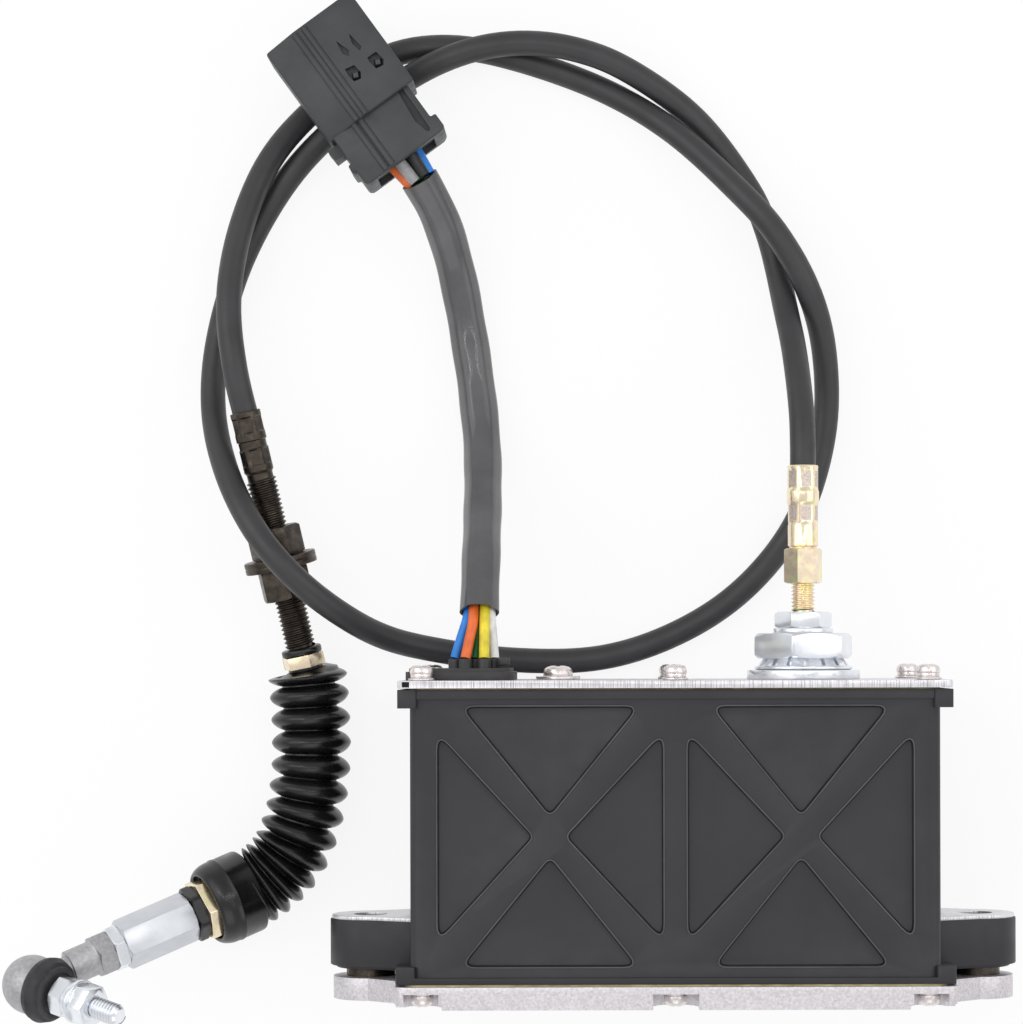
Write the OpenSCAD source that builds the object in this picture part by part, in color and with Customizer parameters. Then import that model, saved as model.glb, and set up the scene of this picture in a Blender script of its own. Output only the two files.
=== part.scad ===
// Cable throttle motor lying on its back: ribbed case, lid, base with ears, pull cable and wire lead.
// X runs along the case, Y from base plate to cable gland, Z up from the table. Millimetres.

/* [Case] */
// Width of the case walls along X
case_w = 139; // [136:1:142]
// Depth of the case walls along Z
case_d = 59; // [57:1:60]
// Height of the case along Y
case_h = 76.9; // [76:0.1:78]
// Wall thickness
wall = 3.5; // [3:0.1:4]
// Radius of the case's upright edges
edge_r = 3; // [1:0.5:4]
// Depth of the triangular pockets
pocket_depth = 1.3; // [0.6:0.1:1.6]
// Corner radius of the pockets
pocket_r = 1.8; // [1:0.2:4]
// Width of the screw lugs at the corners
lug_w = 5.2; // [4:0.2:6]

/* [Lid and base] */
// Length of the lid along X
lid_w = 145; // [142:1:146]
// Depth of lid and base along Z
plate_d = 65; // [64:1:66]
// Lid thickness
lid_t = 2; // [1.5:0.1:2.5]
// Length of the base plate's middle along X
base_w = 147; // [145:1:149]
// Base plate thickness
base_t = 6; // [5.5:0.1:6]
// Distance of the corner screws from the middle along X
screw_x = 66.5; // [66:0.1:67]
// Distance of the corner screws from the middle plane along Z
screw_z = 26; // [25.5:0.1:26.3]
// Head radius of the small pan screws
pan_r = 3.1; // [2.8:0.1:3.3]

/* [Mounting ears] */
// Distance of each mounting hole from the middle
ear_x = 82; // [80:0.5:84]
// Radius of the mounting holes
ear_hole_r = 4.5; // [3.5:0.25:5]
// Reach of the base plate's ears from the middle
ear_tip = 92; // [90:0.5:94]
// Radius of the mounting blocks' rounded nose
block_r = 10.8; // [10:0.2:11.4]
// Half depth of the mounting blocks at the case wall
block_flare = 16; // [13:0.5:19]
// Height of the moulded mounting blocks
block_h = 14; // [12:0.5:15]

/* [Cable gland] */
// Position of the gland along X
gland_x = 35.5; // [35:0.5:36]
// Thread radius of the gland body
gland_r = 8; // [7:0.25:8.5]
// Radius of the big flat washer
gland_washer_r = 15.3; // [13:0.1:16]
// Width across flats of the gland nut
gland_nut_af = 24; // [22:0.5:26]
// Width across flats of the small lock nut
lock_nut_af = 13.5; // [11:0.5:14]

/* [Cable] */
// Radius of the control cable's cover
cable_r = 3.5; // [3:0.1:3.5]
// Radius of the harness sleeve
sleeve_r = 5.35; // [4.9:0.05:5.4]
// Radius of one wire's insulation
wire_r = 1.4; // [0.9:0.05:1.4]

/* [End fitting] */
// Thread radius of the bracket sleeve
fit_r = 4.2; // [3.8:0.1:4.3]
// Width across flats of the bracket nuts
fit_nut_af = 13; // [12:0.5:13]
// Radius of the bracket washers
fit_washer_r = 10; // [8:0.5:10]

/* [Boot and rod end] */
// Outer radius of the boot's folds
fold_r = 10.7; // [9.5:0.1:10.7]
// Root radius between the folds
root_r = 7.3; // [6.5:0.1:8]
// Width across flats of the long coupling
coupling_af = 12.4; // [10:0.2:12.6]
// Radius of the ball housing
ball_house_r = 8; // [7.5:0.1:8]
// Radius of the ball stud's thread
stud_r = 3; // [2.5:0.25:3]

/* [Connector] */
// Connector width
plug_w = 28.4; // [26:0.2:30]
// Connector height
plug_h = 20; // [18:0.5:20]

/* [Drive] */
// Gear module
gear_m = 1.5; // [1.5]
// Teeth of the drum's gear
drum_teeth = 40; // [40]
// Teeth of the idler
idler_teeth = 20; // [20]
// Teeth of the motor pinion
pinion_teeth = 12; // [12]
// Radius at which the wire lies on the drum
drum_r = 18; // [18]

/* [Hidden] */

$fn = 48;
zm = plate_d / 2;
base_y = -52;
base_top = base_y + base_t;
gasket_t = 0.5;
case_y0 = base_top + gasket_t;
case_y1 = case_y0 + case_h;
lid_y0 = case_y1 + 0.4;
lid_y1 = lid_y0 + lid_t;
gy = lid_y1;
z_front = zm + case_d / 2;
z_back = zm - case_d / 2;

// Directions and anchor points of the cable's end
fit_start = [-117.2, 107.7, 20.4];
fit_turn = 12.5;
fit_pitch = 7;
ball_at = [-172.3, -47.7, 40];
rod_turn = 202.8;
rod_rise = 26;
rod_len = 50;
stud_turn = -14;
stud_rise = 32;
rod_dir = [cos(rod_rise) * cos(rod_turn), cos(rod_rise) * sin(rod_turn), sin(rod_rise)];
fit_dir = [cos(fit_pitch) * sin(fit_turn), -cos(fit_pitch) * cos(fit_turn), -sin(fit_pitch)];
rod_start = ball_at - rod_len * rod_dir;

// Route of the control cable's middle line, from the gland's ferrule to the end sleeve
cable_pts = [[35.5, 89.75, 32.5], [35.5, 92.5, 32.5], [35.5, 98, 32.2], [35.4, 105.5, 30.4], [34.8, 115.5, 25.6],
    [33.8, 126.5, 18.6], [32.1, 137.5, 11.4], [30.2, 149, 6], [27.4, 160, 3.9], [22.3, 171.5, 3.5],
    [7.5, 191, 4.5], [-12, 204.2, 8.6], [-27, 209.5, 10.6], [-41, 211, 11], [-54, 209.4, 10.6],
    [-66, 205.4, 8.7], [-77, 199.6, 6.4], [-89, 192.2, 5.3], [-106, 175.8, 3.8], [-119.5, 153, 3.5],
    [-126.5, 130, 4.2], [-127.5, 110, 9], [-122.8, 92, 19], [-114.5, 76, 27.6], [-104.5, 63.5, 29.7],
    [-93, 53.5, 24.4], [-80.5, 46, 15], [-66.5, 42.2, 7.6], [-45, 39.2, 3.8], [-20, 39.5, 3.5],
    [2, 46.5, 3.5], [21, 59, 3.5], [36, 78, 3.5], [43.5, 102, 4], [43.5, 124, 7.4],
    [38.8, 141, 13.4], [29.8, 157, 15], [19, 169.5, 13.2], [1, 187, 8], [-20, 200, 3.9],
    [-46, 209, 3.5], [-64, 211.5, 3.5], [-80, 208.4, 3.5], [-95, 198, 4], [-110.5, 181, 7.5],
    [-119, 160, 12.6], [-121.9, 139, 18.6], [-119.9, 120, 21.9], [-116.8, 105.9, 20.1]];

// Route of the harness sleeve, from the connector to the grommet
sleeve_pts = [[-69, 171.6, 20.4], [-63.5, 161.5, 15.5], [-59.5, 148, 8.8], [-56.5, 132, 5.5],
    [-54, 115, 5.5], [-52.3, 98, 9], [-51.8, 82, 20], [-51.8, 67, 32], [-52, 52, 40]];

// Middle line of the boot, from the bracket sleeve to its collar
boot_pts = [fit_start + 73 * fit_dir, fit_start + 75.4 * fit_dir, [-100.2, 23, 11], [-100.2, 9.7, 11],
    [-101.9, -2.8, 11], [-105.6, -13.4, 11], [-110.4, -19.7, 11.2], [-115.5, -23.6, 11.7],
    rod_start - 13.1 * rod_dir];

// Drive positions
drum_at = [gland_x - drum_r, -5];
idler_dir = 163;
pinion_dir = 226;
idler_at = drum_at + gear_m * (drum_teeth + idler_teeth) / 2 * [cos(idler_dir), sin(idler_dir)];
pinion_at = idler_at
    + gear_m * (idler_teeth + pinion_teeth) / 2 * [cos(pinion_dir), sin(pinion_dir)];

// Colours
c_case = [0.09, 0.09, 0.1];
c_alu = [0.83, 0.83, 0.83];
c_steel = [0.75, 0.77, 0.8];
c_gold = [0.82, 0.72, 0.46];
c_dark = [0.17, 0.15, 0.14];
c_rubber = [0.05, 0.05, 0.05];
c_grey = [0.35, 0.35, 0.36];
c_plug = [0.14, 0.14, 0.15];

function unit(v) = v / norm(v);
function hex_r(af) = af / 2 / cos(30);

// Rounded outline: each corner is replaced by a short curve of four points
function soft_corner(a, p, b, r) =
    let (d = min(r / tan(acos(unit(a - p) * unit(b - p)) / 2), norm(a - p) / 2.2, norm(b - p) / 2.2),
         s = p + unit(a - p) * d, e = p + unit(b - p) * d)
    [for (t = [0 : 0.25 : 1]) (1 - t) * (1 - t) * s + 2 * t * (1 - t) * p + t * t * e];
function soft(pts, r) = [for (i = [0 : len(pts) - 1])
    each soft_corner(pts[(i + len(pts) - 1) % len(pts)], pts[i], pts[(i + 1) % len(pts)], r)];

// Smooth curve through hand-placed points
function curve_at(a, b, c, d, t) = 0.5 * (2 * b + (c - a) * t + (2 * a - 5 * b + 4 * c - d) * t * t
    + (3 * b - a - 3 * c + d) * t * t * t);
function curve(p, n) = concat([for (i = [0 : len(p) - 2]) for (k = [0 : n - 1])
    curve_at(p[max(i - 1, 0)], p[i], p[i + 1], p[min(i + 2, len(p) - 1)], k / n)], [p[len(p) - 1]]);

function heading(p, i) = unit(p[min(i + 1, len(p) - 1)] - p[max(i - 1, 0)]);
function ring(p, i, r, n) = let (t = heading(p, i), s = unit(cross(t, [0, 0, 1])), u = cross(s, t))
    [for (k = [0 : n - 1]) p[i] + r * (cos(360 * k / n) * s + sin(360 * k / n) * u)];

// Tube swept along a line of points, one radius a point
module swept(p, radii, n) {
    last = len(p) - 1;
    pts = [for (i = [0 : last]) each ring(p, i, radii[i], n)];
    sides = [for (i = [0 : last - 1]) for (k = [0 : n - 1]) each [
        [i * n + k, i * n + (k + 1) % n, (i + 1) * n + (k + 1) % n],
        [i * n + k, (i + 1) * n + (k + 1) % n, (i + 1) * n + k]]];
    start = [[for (k = [n - 1 : -1 : 0]) k]];
    end = [[for (k = [0 : n - 1]) last * n + k]];
    polyhedron(points = pts, faces = concat(sides, start, end), convexity = 10);
}

module along_y(y0, h) {
    translate([0, y0 + h, 0]) rotate([90, 0, 0]) linear_extrude(height = h) children();
}

module rod_y(x, y0, z, r, h) {
    translate([x, y0, z]) rotate([-90, 0, 0]) cylinder(r = r, h = h);
}

module plan_rect(w, d, r) {
    translate([0, zm]) polygon(soft([[-w / 2, -d / 2], [w / 2, -d / 2], [w / 2, d / 2], [-w / 2, d / 2]], r));
}

module at_screws() {
    for (x = [-screw_x, 0, screw_x]) for (s = [-1, 1]) translate([x, 0, zm + s * screw_z]) children();
}

// Hexagon with both faces chamfered
module hex_body(af, h, c) {
    intersection() {
        cylinder(r = hex_r(af), h = h, $fn = 6);
        rotate_extrude() polygon([[0, 0], [hex_r(af) - c, 0], [hex_r(af), c * 0.58],
            [hex_r(af), h - c * 0.58], [hex_r(af) - c, h], [0, h]]);
    }
}

module hex_nut(af, h, r) {
    difference() {
        hex_body(af, h, af * 0.07);
        translate([0, 0, -1]) cylinder(r = r, h = h + 2);
    }
}

module flat_ring(r, bore, h) {
    difference() {
        rotate_extrude() polygon([[0, 0], [r - 0.2, 0], [r, 0.2], [r, h - 0.2], [r - 0.2, h], [0, h]]);
        translate([0, 0, -1]) cylinder(r = bore, h = h + 2);
    }
}

module split_ring(r, bore, h) {
    difference() {
        cylinder(r = r, h = h);
        translate([0, 0, -1]) cylinder(r = bore, h = h + 2);
        rotate([0, 0, 35]) translate([0, -0.3, -1]) cube([r + 1, 0.6, h + 2]);
    }
}

// Pan head standing on z = 0 with its shank below
module pan_screw(r, h, shank_r, shank) {
    difference() {
        rotate_extrude() polygon([[0, 0], [r, 0], [r, h * 0.35], [r * 0.93, h * 0.66],
            [r * 0.74, h * 0.88], [r * 0.45, h], [0, h]]);
        for (a = [0, 90]) rotate([0, 0, a]) translate([-r * 0.58, -r * 0.14, h * 0.55])
            cube([r * 1.16, r * 0.28, h]);
    }
    translate([0, 0, -shank]) cylinder(r = shank_r, h = shank + 0.6);
}

module panel_pockets() {
    top = case_y1 - 4.4;
    low = case_y0 + 4.5;
    mid = -7;
    for (s = [-1, 1]) scale([s, 1, 1]) {
        polygon(soft([[9.5, top], [32.8, mid + 5.4], [56, top]], pocket_r));
        polygon(soft([[9.9, low], [56.1, low], [32.8, mid - 5.4]], pocket_r));
        polygon(soft([[3.2, mid - 27.4], [28.6, mid], [3.2, mid + 27.2]], pocket_r));
        polygon(soft([[62.2, mid - 27.4], [62.2, mid + 27.2], [37.2, mid]], pocket_r));
    }
}

// Screw lugs wrap the case's upright edges
module lugs(out) {
    for (s = [-1, 1]) for (k = [-1, 1]) scale([s, 1]) translate([case_w / 2 + out - lug_w, zm + k * 26.2])
        polygon(soft([[0, -5], [lug_w, -5], [lug_w, 5], [0, 5]], 1.2));
}

module housing() {
    color(c_case) difference() {
        union() {
            along_y(case_y0, case_h) plan_rect(case_w, case_d, edge_r);
            along_y(case_y0, 1.7) plan_rect(case_w + 8, case_d + 3, edge_r + 1);
            along_y(case_y1 - 2.4, 2.4) plan_rect(case_w + 6.6, case_d + 2, edge_r + 0.5);
            along_y(case_y0, 4.6) lugs(3.7);
            along_y(case_y1 - 4.8, 4.8) lugs(3.1);
        }
        difference() {
            translate([-case_w / 2 + wall, case_y0 - 1, z_back + wall])
                cube([case_w - 2 * wall, case_h + 2, case_d - 2 * wall]);
            for (x = [-74, 62.5]) for (z = [-6, z_front - 8])
                translate([x, case_y0 - 2, z]) cube([11.5, case_h + 4, z < 0 ? z_back + 14 : 14]);
            for (z = [-6, z_front - 8])
                translate([-4.5, case_y0 - 2, z]) cube([9, case_h + 4, z < 0 ? z_back + 14 : 14]);
        }
        translate([0, 0, z_front - pocket_depth]) linear_extrude(height = 5) panel_pockets();
        translate([0, 0, z_back + pocket_depth - 5]) linear_extrude(height = 5) panel_pockets();
        at_screws() rod_y(0, case_y1 - 9, 0, 1.55, 12);
        at_screws() rod_y(0, case_y0 - 3, 0, 1.55, 12);
    }
}

module lid_plate() {
    color(c_alu) difference() {
        along_y(lid_y0, lid_t) plan_rect(lid_w, plate_d, 2.5);
        at_screws() rod_y(0, lid_y0 - 1, 0, 1.7, lid_t + 2);
        rod_y(gland_x, lid_y0 - 1, zm, gland_r + 0.1, lid_t + 2);
        rod_y(-31, lid_y0 - 1, zm, 2.1, lid_t + 2);
        translate([-63.1, lid_y0 - 1, 36.9]) cube([20.2, lid_t + 2, 14.2]);
        translate([-71.2, lid_y0 + 0.3, plate_d - 1.6]) cube([1.9, lid_t - 0.6, 3]);
    }
}

module lid_gasket() {
    color([0.75, 0.75, 0.72]) difference() {
        along_y(case_y1, 0.4) plan_rect(case_w, case_d, edge_r);
        translate([-64.5, case_y1 - 1, z_back + 8]) cube([129, 3, case_d - 16]);
        at_screws() rod_y(0, case_y1 - 1, 0, 1.7, 3);
    }
}

// Round nose about the mounting hole, flaring towards the case
module nose_plan(r, flare, x1, x0) {
    translate([ear_x, zm]) circle(r = r);
    polygon([[x0, zm - flare], [x1, zm - flare], [ear_x, zm - r], [ear_x, zm + r], [x1, zm + flare],
        [x0, zm + flare]]);
}

module ear_plan() {
    for (s = [-1, 1]) scale([s, 1])
        nose_plan(ear_tip - ear_x, 17, base_w / 2, 40);
}

module base_plate() {
    color(c_alu) difference() {
        union() {
            along_y(base_y, base_t) plan_rect(base_w, plate_d, 3);
            along_y(base_y, base_t) ear_plan();
        }
        for (s = [-1, 1]) {
            rod_y(s * ear_x, base_y - 1, zm, ear_hole_r, base_t + 2);
            for (k = [-1, 1]) {
                translate([s * 70 - 9, base_y - 1, zm + k * 34.5 - 9.5]) cube([18, 2.3, 19]);
                rod_y(s * screw_x, base_y - 1, zm + k * screw_z, 4.6, 5.1);
                translate([s * screw_x - 4.6, base_y - 1, zm + k * 34 - 8]) cube([9.2, 5.1, 16]);
            }
        }
        for (k = [-1, 1]) {
            rod_y(0, base_y - 1, zm + k * screw_z, 6, 5.1);
            translate([-6, base_y - 1, zm + k * 34 - 8]) cube([12, 5.1, 16]);
        }
        at_screws() rod_y(0, base_y - 1, 0, 1.7, base_t + 2);
    }
}

module base_gasket() {
    color([0.85, 0.83, 0.6]) difference() {
        along_y(base_top, gasket_t) plan_rect(case_w + 3, case_d + 2.4, edge_r);
        translate([-62, base_top - 1, z_back + 8]) cube([124, 3, case_d - 16]);
        at_screws() rod_y(0, base_top - 1, 0, 1.7, 3);
    }
}

module lid_flat_washers() {
    color(c_steel) at_screws() translate([0, lid_y1, 0]) rotate([-90, 0, 0]) flat_ring(3.5, 1.6, 0.7);
}

module lid_lock_washers() {
    color(c_steel) at_screws() translate([0, lid_y1 + 0.7, 0]) rotate([-90, 0, 0]) split_ring(2.9, 1.6, 1.1);
}

module lid_screws() {
    color(c_steel) at_screws() translate([0, lid_y1 + 1.8, 0]) rotate([-90, 0, 0])
        pan_screw(pan_r, 2.3, 1.5, 10.5);
}

module base_lock_washers() {
    color(c_steel) at_screws() translate([0, base_y + 4.1, 0]) rotate([90, 0, 0]) split_ring(2.9, 1.6, 0.9);
}

module base_screws() {
    color(c_steel) at_screws() translate([0, base_y + 3.2, 0]) rotate([90, 0, 0])
        pan_screw(pan_r, 2.9, 1.5, 11);
}

module clip_washer() {
    color(c_steel) translate([-31, lid_y1, zm]) rotate([-90, 0, 0]) flat_ring(6, 2.1, 1);
}

module clip_screw() {
    color(c_steel) translate([-31, lid_y1 + 1, zm]) rotate([-90, 0, 0]) pan_screw(4, 2.8, 2, 8);
}

// Collar positions of the wires on the grommet: X, Z
collars = [[-58.4, 42.6], [-55.5, 46], [-53, 42.6], [-50.5, 46], [-48, 42.6], [-55.6, 39.2],
    [-50.4, 39.2]];

module wire_grommet() {
    color(c_rubber) difference() {
        union() {
            along_y(lid_y1, 2.3) translate([-56.75, 37])
                polygon(soft([[-14.5, -16], [14.5, -16], [14.5, 17.2], [-14.5, 17.2]], 5));
            along_y(lid_y1 + 2.3, 0.9) translate([-56.75, 37])
                polygon(soft([[-13.6, -15.1], [13.6, -15.1], [13.6, 16.3], [-13.6, 16.3]], 4.5));
            translate([-63.1, lid_y0 - 2, 37]) cube([20.2, lid_t + 3, 14]);
            for (c = collars) rod_y(c[0], lid_y1 + 3, c[1], 1.8, 2.7);
        }
        rod_y(-screw_x, lid_y1 - 1, zm + screw_z, 4.2, 6);
        rod_y(-45.3, lid_y1 + 1, 46, 1.3, 6);
    }
}

module grommet_plug() {
    color(c_rubber) {
        rod_y(-45.3, lid_y1 + 1, 46, 1.25, 4.2);
        rod_y(-45.3, lid_y1 + 4, 46, 1.7, 1.9);
    }
}

module block_plan(inset) {
    for (s = [-1, 1]) scale([s, 1])
        nose_plan(block_r - inset, block_flare - inset, case_w / 2 + 1, case_w / 2 + 0.05);
}

module mount_blocks() {
    color(c_case) difference() {
        union() {
            along_y(case_y0 + 2.5, block_h - 1.5) block_plan(0);
            along_y(case_y0 + 1.8, 1.2) block_plan(1.6);
        }
        for (s = [-1, 1]) rod_y(s * ear_x, case_y0, zm, 6.5, block_h + 4);
    }
}

module mount_caps() {
    color(c_alu) difference() {
        along_y(case_y0 + 1 + block_h, 1) block_plan(0.4);
        for (s = [-1, 1]) rod_y(s * ear_x, case_y0, zm, ear_hole_r, block_h + 4);
    }
}

module mount_sleeves() {
    color(c_dark) for (s = [-1, 1]) difference() {
        rod_y(s * ear_x, base_top, zm, 6.5, gasket_t + 1 + block_h);
        rod_y(s * ear_x, base_top - 1, zm, ear_hole_r, block_h + 4);
    }
}

module gland_body() {
    color(c_steel) difference() {
        union() {
            rod_y(gland_x, lid_y0 - 3, zm, 12, 3);
            rod_y(gland_x, lid_y0 - 1, zm, gland_r, 15.4);
        }
        rod_y(gland_x, lid_y0 - 4, zm, 3.25, 22);
    }
}

module gland_washer() {
    color(c_steel) translate([gland_x, gy, zm]) rotate([-90, 0, 0]) flat_ring(gland_washer_r, gland_r + 0.1, 2.5);
}

module gland_tooth_washer() {
    color(c_steel) translate([gland_x, gy + 2.5, zm]) rotate([-90, 0, 0]) difference() {
        rotate_extrude() polygon([[7.5, 0], [12.6, 0], [13.3, 0.3], [13.3, 0.9], [12.4, 1.1], [10.9, 3.1],
            [7.5, 3.1]]);
        for (a = [0 : 22.5 : 359]) rotate([0, 0, a]) translate([9.6, -0.6, 1.2]) cube([4, 1.2, 3]);
        translate([0, 0, -1]) cylinder(r = gland_r + 0.1, h = 6);
    }
}

module gland_nut() {
    color(c_steel) translate([gland_x, gy + 5.6, zm]) rotate([-90, 14, 0]) hex_nut(gland_nut_af, 6.8, gland_r + 0.05);
}

module gland_seal_washer() {
    color(c_steel) translate([gland_x, gy + 12.4, zm]) rotate([-90, 0, 0]) flat_ring(8.1, 3.3, 1.4);
}

module cable_lock_nut() {
    color(c_steel) translate([gland_x, gy + 13.8, zm]) rotate([-90, 2, 0]) hex_nut(lock_nut_af, 52 - gy - 13.8, 3.25);
}

module cable_ferrule() {
    color(c_gold) translate([gland_x, 36, zm]) rotate([-90, 0, 0]) difference() {
        union() {
            cylinder(r = 3.2, h = 24);
            translate([0, 0, 23.7]) rotate([0, 0, 10]) hex_body(9.2, 9.5, 0.8);
            translate([0, 0, 33]) cylinder(r = 4.3, h = 7.2);
            translate([0, 0, 40]) cylinder(r = 4.15, h = 5.6, $fn = 6);
            translate([0, 0, 45.4]) cylinder(r = 4.35, h = 3.9);
            translate([0, 0, 49.1]) cylinder(r = 4.1, h = 6.6);
        }
        translate([0, 0, 53.7]) cylinder(r = 3.55, h = 4);
    }
}

module control_cable() {
    color(c_rubber) swept(cable_pts, [for (p = cable_pts) cable_r], 10);
}

module at_fit(s) {
    translate(fit_start) rotate([0, 0, fit_turn]) rotate([90 + fit_pitch, 0, 0]) translate([0, 0, s]) children();
}

module end_sleeve() {
    color(c_dark) at_fit(0) difference() {
        union() {
            cylinder(r = 4.2, h = 8);
            translate([0, 0, 7.6]) cylinder(r = 3.85, h = 2.9);
            translate([0, 0, 10]) cylinder(r = 4.1, h = 6, $fn = 6);
            translate([0, 0, 15.6]) cylinder(r = 3.9, h = 3.6);
            translate([0, 0, 19]) cylinder(r = fit_r, h = 48);
        }
        translate([0, 0, -1]) cylinder(r = 3.55, h = 3);
    }
}

module bracket_nuts() {
    color(c_dark) {
        at_fit(32.8) hex_nut(fit_nut_af, 8.2, fit_r + 0.05);
        at_fit(44.2) rotate([0, 0, 18]) hex_nut(fit_nut_af, 8.6, fit_r + 0.05);
    }
}

module bracket_washers() {
    color(c_dark) {
        at_fit(41) flat_ring(fit_washer_r, fit_r + 0.1, 1.6);
        at_fit(42.6) flat_ring(fit_washer_r, fit_r + 0.1, 1.6);
    }
}

module boot_clamp_upper() {
    color(c_gold) at_fit(69) rotate([0, 0, 10]) difference() {
        cylinder(r = hex_r(10.4), h = 3.4, $fn = 6);
        translate([0, 0, -1]) cylinder(r = 4.85, h = 6);
    }
}

// Station along the axis and radius of the boot's neck and of its collar
neck = [[67.02, 5.2], [67.3, 5.6], [68.9, 5.6], [68.98, 4.8], [73.2, 4.8], [73.4, 6.4]];
collar = [[-13.05, 8.4], [-13, 11.3], [-12.6, 11.6], [-7, 11.6], [-5.6, 11], [-4.75, 9.7], [-4.7, 7],
    [-0.45, 7], [-0.38, 7.7], [2.2, 7.7], [2.5, 7.3]];
fold = [fold_r, fold_r - 0.9, root_r, root_r, fold_r - 0.9];
folds = [for (i = [8 : 73]) i];
bend = curve(boot_pts, 10);
boot_line = concat([for (n = neck) fit_start + n[0] * fit_dir], [for (i = folds) bend[i]],
    [for (n = collar) rod_start + n[0] * rod_dir]);
boot_radii = concat([for (n = neck) n[1]], [for (i = folds) i == 8 ? root_r : fold[i % 5]],
    [for (n = collar) n[1]]);

module boot() {
    color(c_rubber) swept(boot_line, boot_radii, 16);
}

module at_rod(s) {
    translate(rod_start) rotate([0, 90 - rod_rise, rod_turn]) translate([0, 0, s]) children();
}

module boot_clamp_lower() {
    color(c_gold) at_rod(-4.6) rotate([0, 0, -10]) difference() {
        cylinder(r = hex_r(15.6), h = 4.1, $fn = 6);
        translate([0, 0, -1]) cylinder(r = 7.1, h = 9);
    }
}

module hex_coupling() {
    color(c_steel) at_rod(2.6) rotate([0, 0, 30]) hex_body(coupling_af, 20.8, 0.9);
}

module jam_nut() {
    color(c_steel) at_rod(23.4) rotate([0, 0, 8]) hex_nut(11.4, 3.4, 3.05);
}

module at_stud(s) {
    translate(ball_at) rotate([0, 90 - stud_rise, stud_turn]) translate([0, 0, s]) children();
}

module rod_end() {
    color([0.6, 0.6, 0.6]) difference() {
        union() {
            at_rod(rod_len) sphere(r = ball_house_r);
            at_rod(rod_len - 14) cylinder(r = 3.6, h = 8);
            at_rod(31.4) cylinder(r = 4.8, h = rod_len - 31.4 - 11);
            at_rod(26.8) hex_body(11, 4.8, 0.9);
            at_rod(31.2) cylinder(r1 = 5.4, r2 = 4.8, h = 1.2);
            at_rod(23.4) cylinder(r = 3, h = 4);
        }
        at_stud(0) sphere(r = 4.55);
        at_stud(0) cylinder(r = 3.9, h = 12);
    }
}

module dust_cover() {
    color(c_rubber) difference() {
        at_stud(0) rotate_extrude() polygon([[7, 4.2], [8.6, 4.2], [9, 5.8], [8.2, 8], [5.5, 9.3], [2.4, 9.6],
            [2.4, 8.8], [5, 8.5], [7, 7.1], [7.7, 5.8]]);
        at_rod(rod_len - 16) cylinder(r = 3.9, h = 14);
    }
}

module neck_ring() {
    color(c_steel) at_stud(9.6) difference() {
        cylinder(r = 3.6, h = 0.8);
        translate([0, 0, -1]) cylinder(r = 2.35, h = 3);
    }
}

module ball_stud() {
    color(c_steel) {
        at_stud(0) sphere(r = 4.5);
        at_stud(3) cylinder(r = 2.2, h = 8);
        at_stud(10.6) hex_body(10, 4.4, 0.8);
        at_stud(14.8) cylinder(r = stud_r - 0.5, h = 8.2);
        at_stud(22.8) cylinder(r = stud_r, h = 9.2);
    }
}

module stud_lock_washer() {
    color(c_steel) at_stud(15) split_ring(5, stud_r + 0.05, 1.6);
}

module stud_flat_washer() {
    color(c_steel) at_stud(16.6) flat_ring(6, stud_r + 0.1, 1.2);
}

module stud_nut() {
    color(c_steel) at_stud(17.8) rotate([0, 0, 12]) hex_nut(10, 5, stud_r - 0.45);
}

module harness_sleeve() {
    color(c_grey) swept(sleeve_pts, [for (p = sleeve_pts) sleeve_r], 12);
}

plug_at = [-86, 195.1, 20.4];
plug_turn = -54;
bevel_y = -4.8;
bevel_drop = 2.4;

module at_plug() {
    translate(plug_at) rotate([0, 0, plug_turn]) children();
}

function plug_point(p) = plug_at + [p[0] * cos(plug_turn) - p[1] * sin(plug_turn),
    p[0] * sin(plug_turn) + p[1] * cos(plug_turn), p[2]];

// Places of the wires inside the sleeve, at its connector end and at its grommet end
spots = [for (a = [0 : 60 : 300]) 2.9 * [cos(a), sin(a)]];
low_spots = [for (a = [0 : 60 : 300]) [3 * cos(a), 3.75 * sin(a)]];
centre_spot = [0, 0];

module straight_wire(p, q) {
    d = q - p;
    translate(p) rotate([0, acos(d[2] / norm(d)), atan2(d[1], d[0])]) cylinder(r = wire_r, h = norm(d), $fn = 24);
}

// One wire shows twice: from its grommet collar to the sleeve and from the sleeve to the connector
module wire_pair(collar, low_spot, top_spot) {
    straight_wire([collars[collar][0], lid_y1 + 5.8, collars[collar][1]],
        sleeve_pts[8] + [low_spot[0], -0.9 - 0.5 * low_spot[1], low_spot[1]]);
    straight_wire(plug_point([22.4, 1.35 * top_spot[0], 1.35 * top_spot[1]]),
        plug_point([29.4, top_spot[0], top_spot[1]]));
}

module wire_blue() {
    color([0.2, 0.5, 0.9]) wire_pair(0, low_spots[3], spots[0]);
}

module wire_orange() {
    color([1, 0.43, 0.12]) wire_pair(1, low_spots[2], spots[3]);
}

module wire_green() {
    color([0.08, 0.43, 0.2]) wire_pair(2, centre_spot, centre_spot);
}

module wire_yellow() {
    color([0.98, 0.84, 0.16]) wire_pair(3, low_spots[1], spots[4]);
}

module wire_white() {
    color([0.95, 0.95, 0.95]) wire_pair(4, low_spots[0], spots[5]);
}

module wire_grey() {
    color([0.6, 0.6, 0.6]) wire_pair(5, low_spots[4], spots[2]);
}

module wire_black() {
    color([0.06, 0.06, 0.06]) wire_pair(6, low_spots[5], spots[1]);
}

// Connector's section with its sloping left shoulder
module plug_bar(x0, length, inset) {
    side = plug_w / 2 - inset;
    top = plug_h / 2 - inset;
    translate([x0, 0, 0]) rotate([90, 0, 90]) linear_extrude(height = length)
        polygon([[-side, -top], [side, -top], [side, top], [bevel_y + 0.4 * inset, top],
            [-side, top - bevel_drop + 0.6 * inset]]);
}

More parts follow.
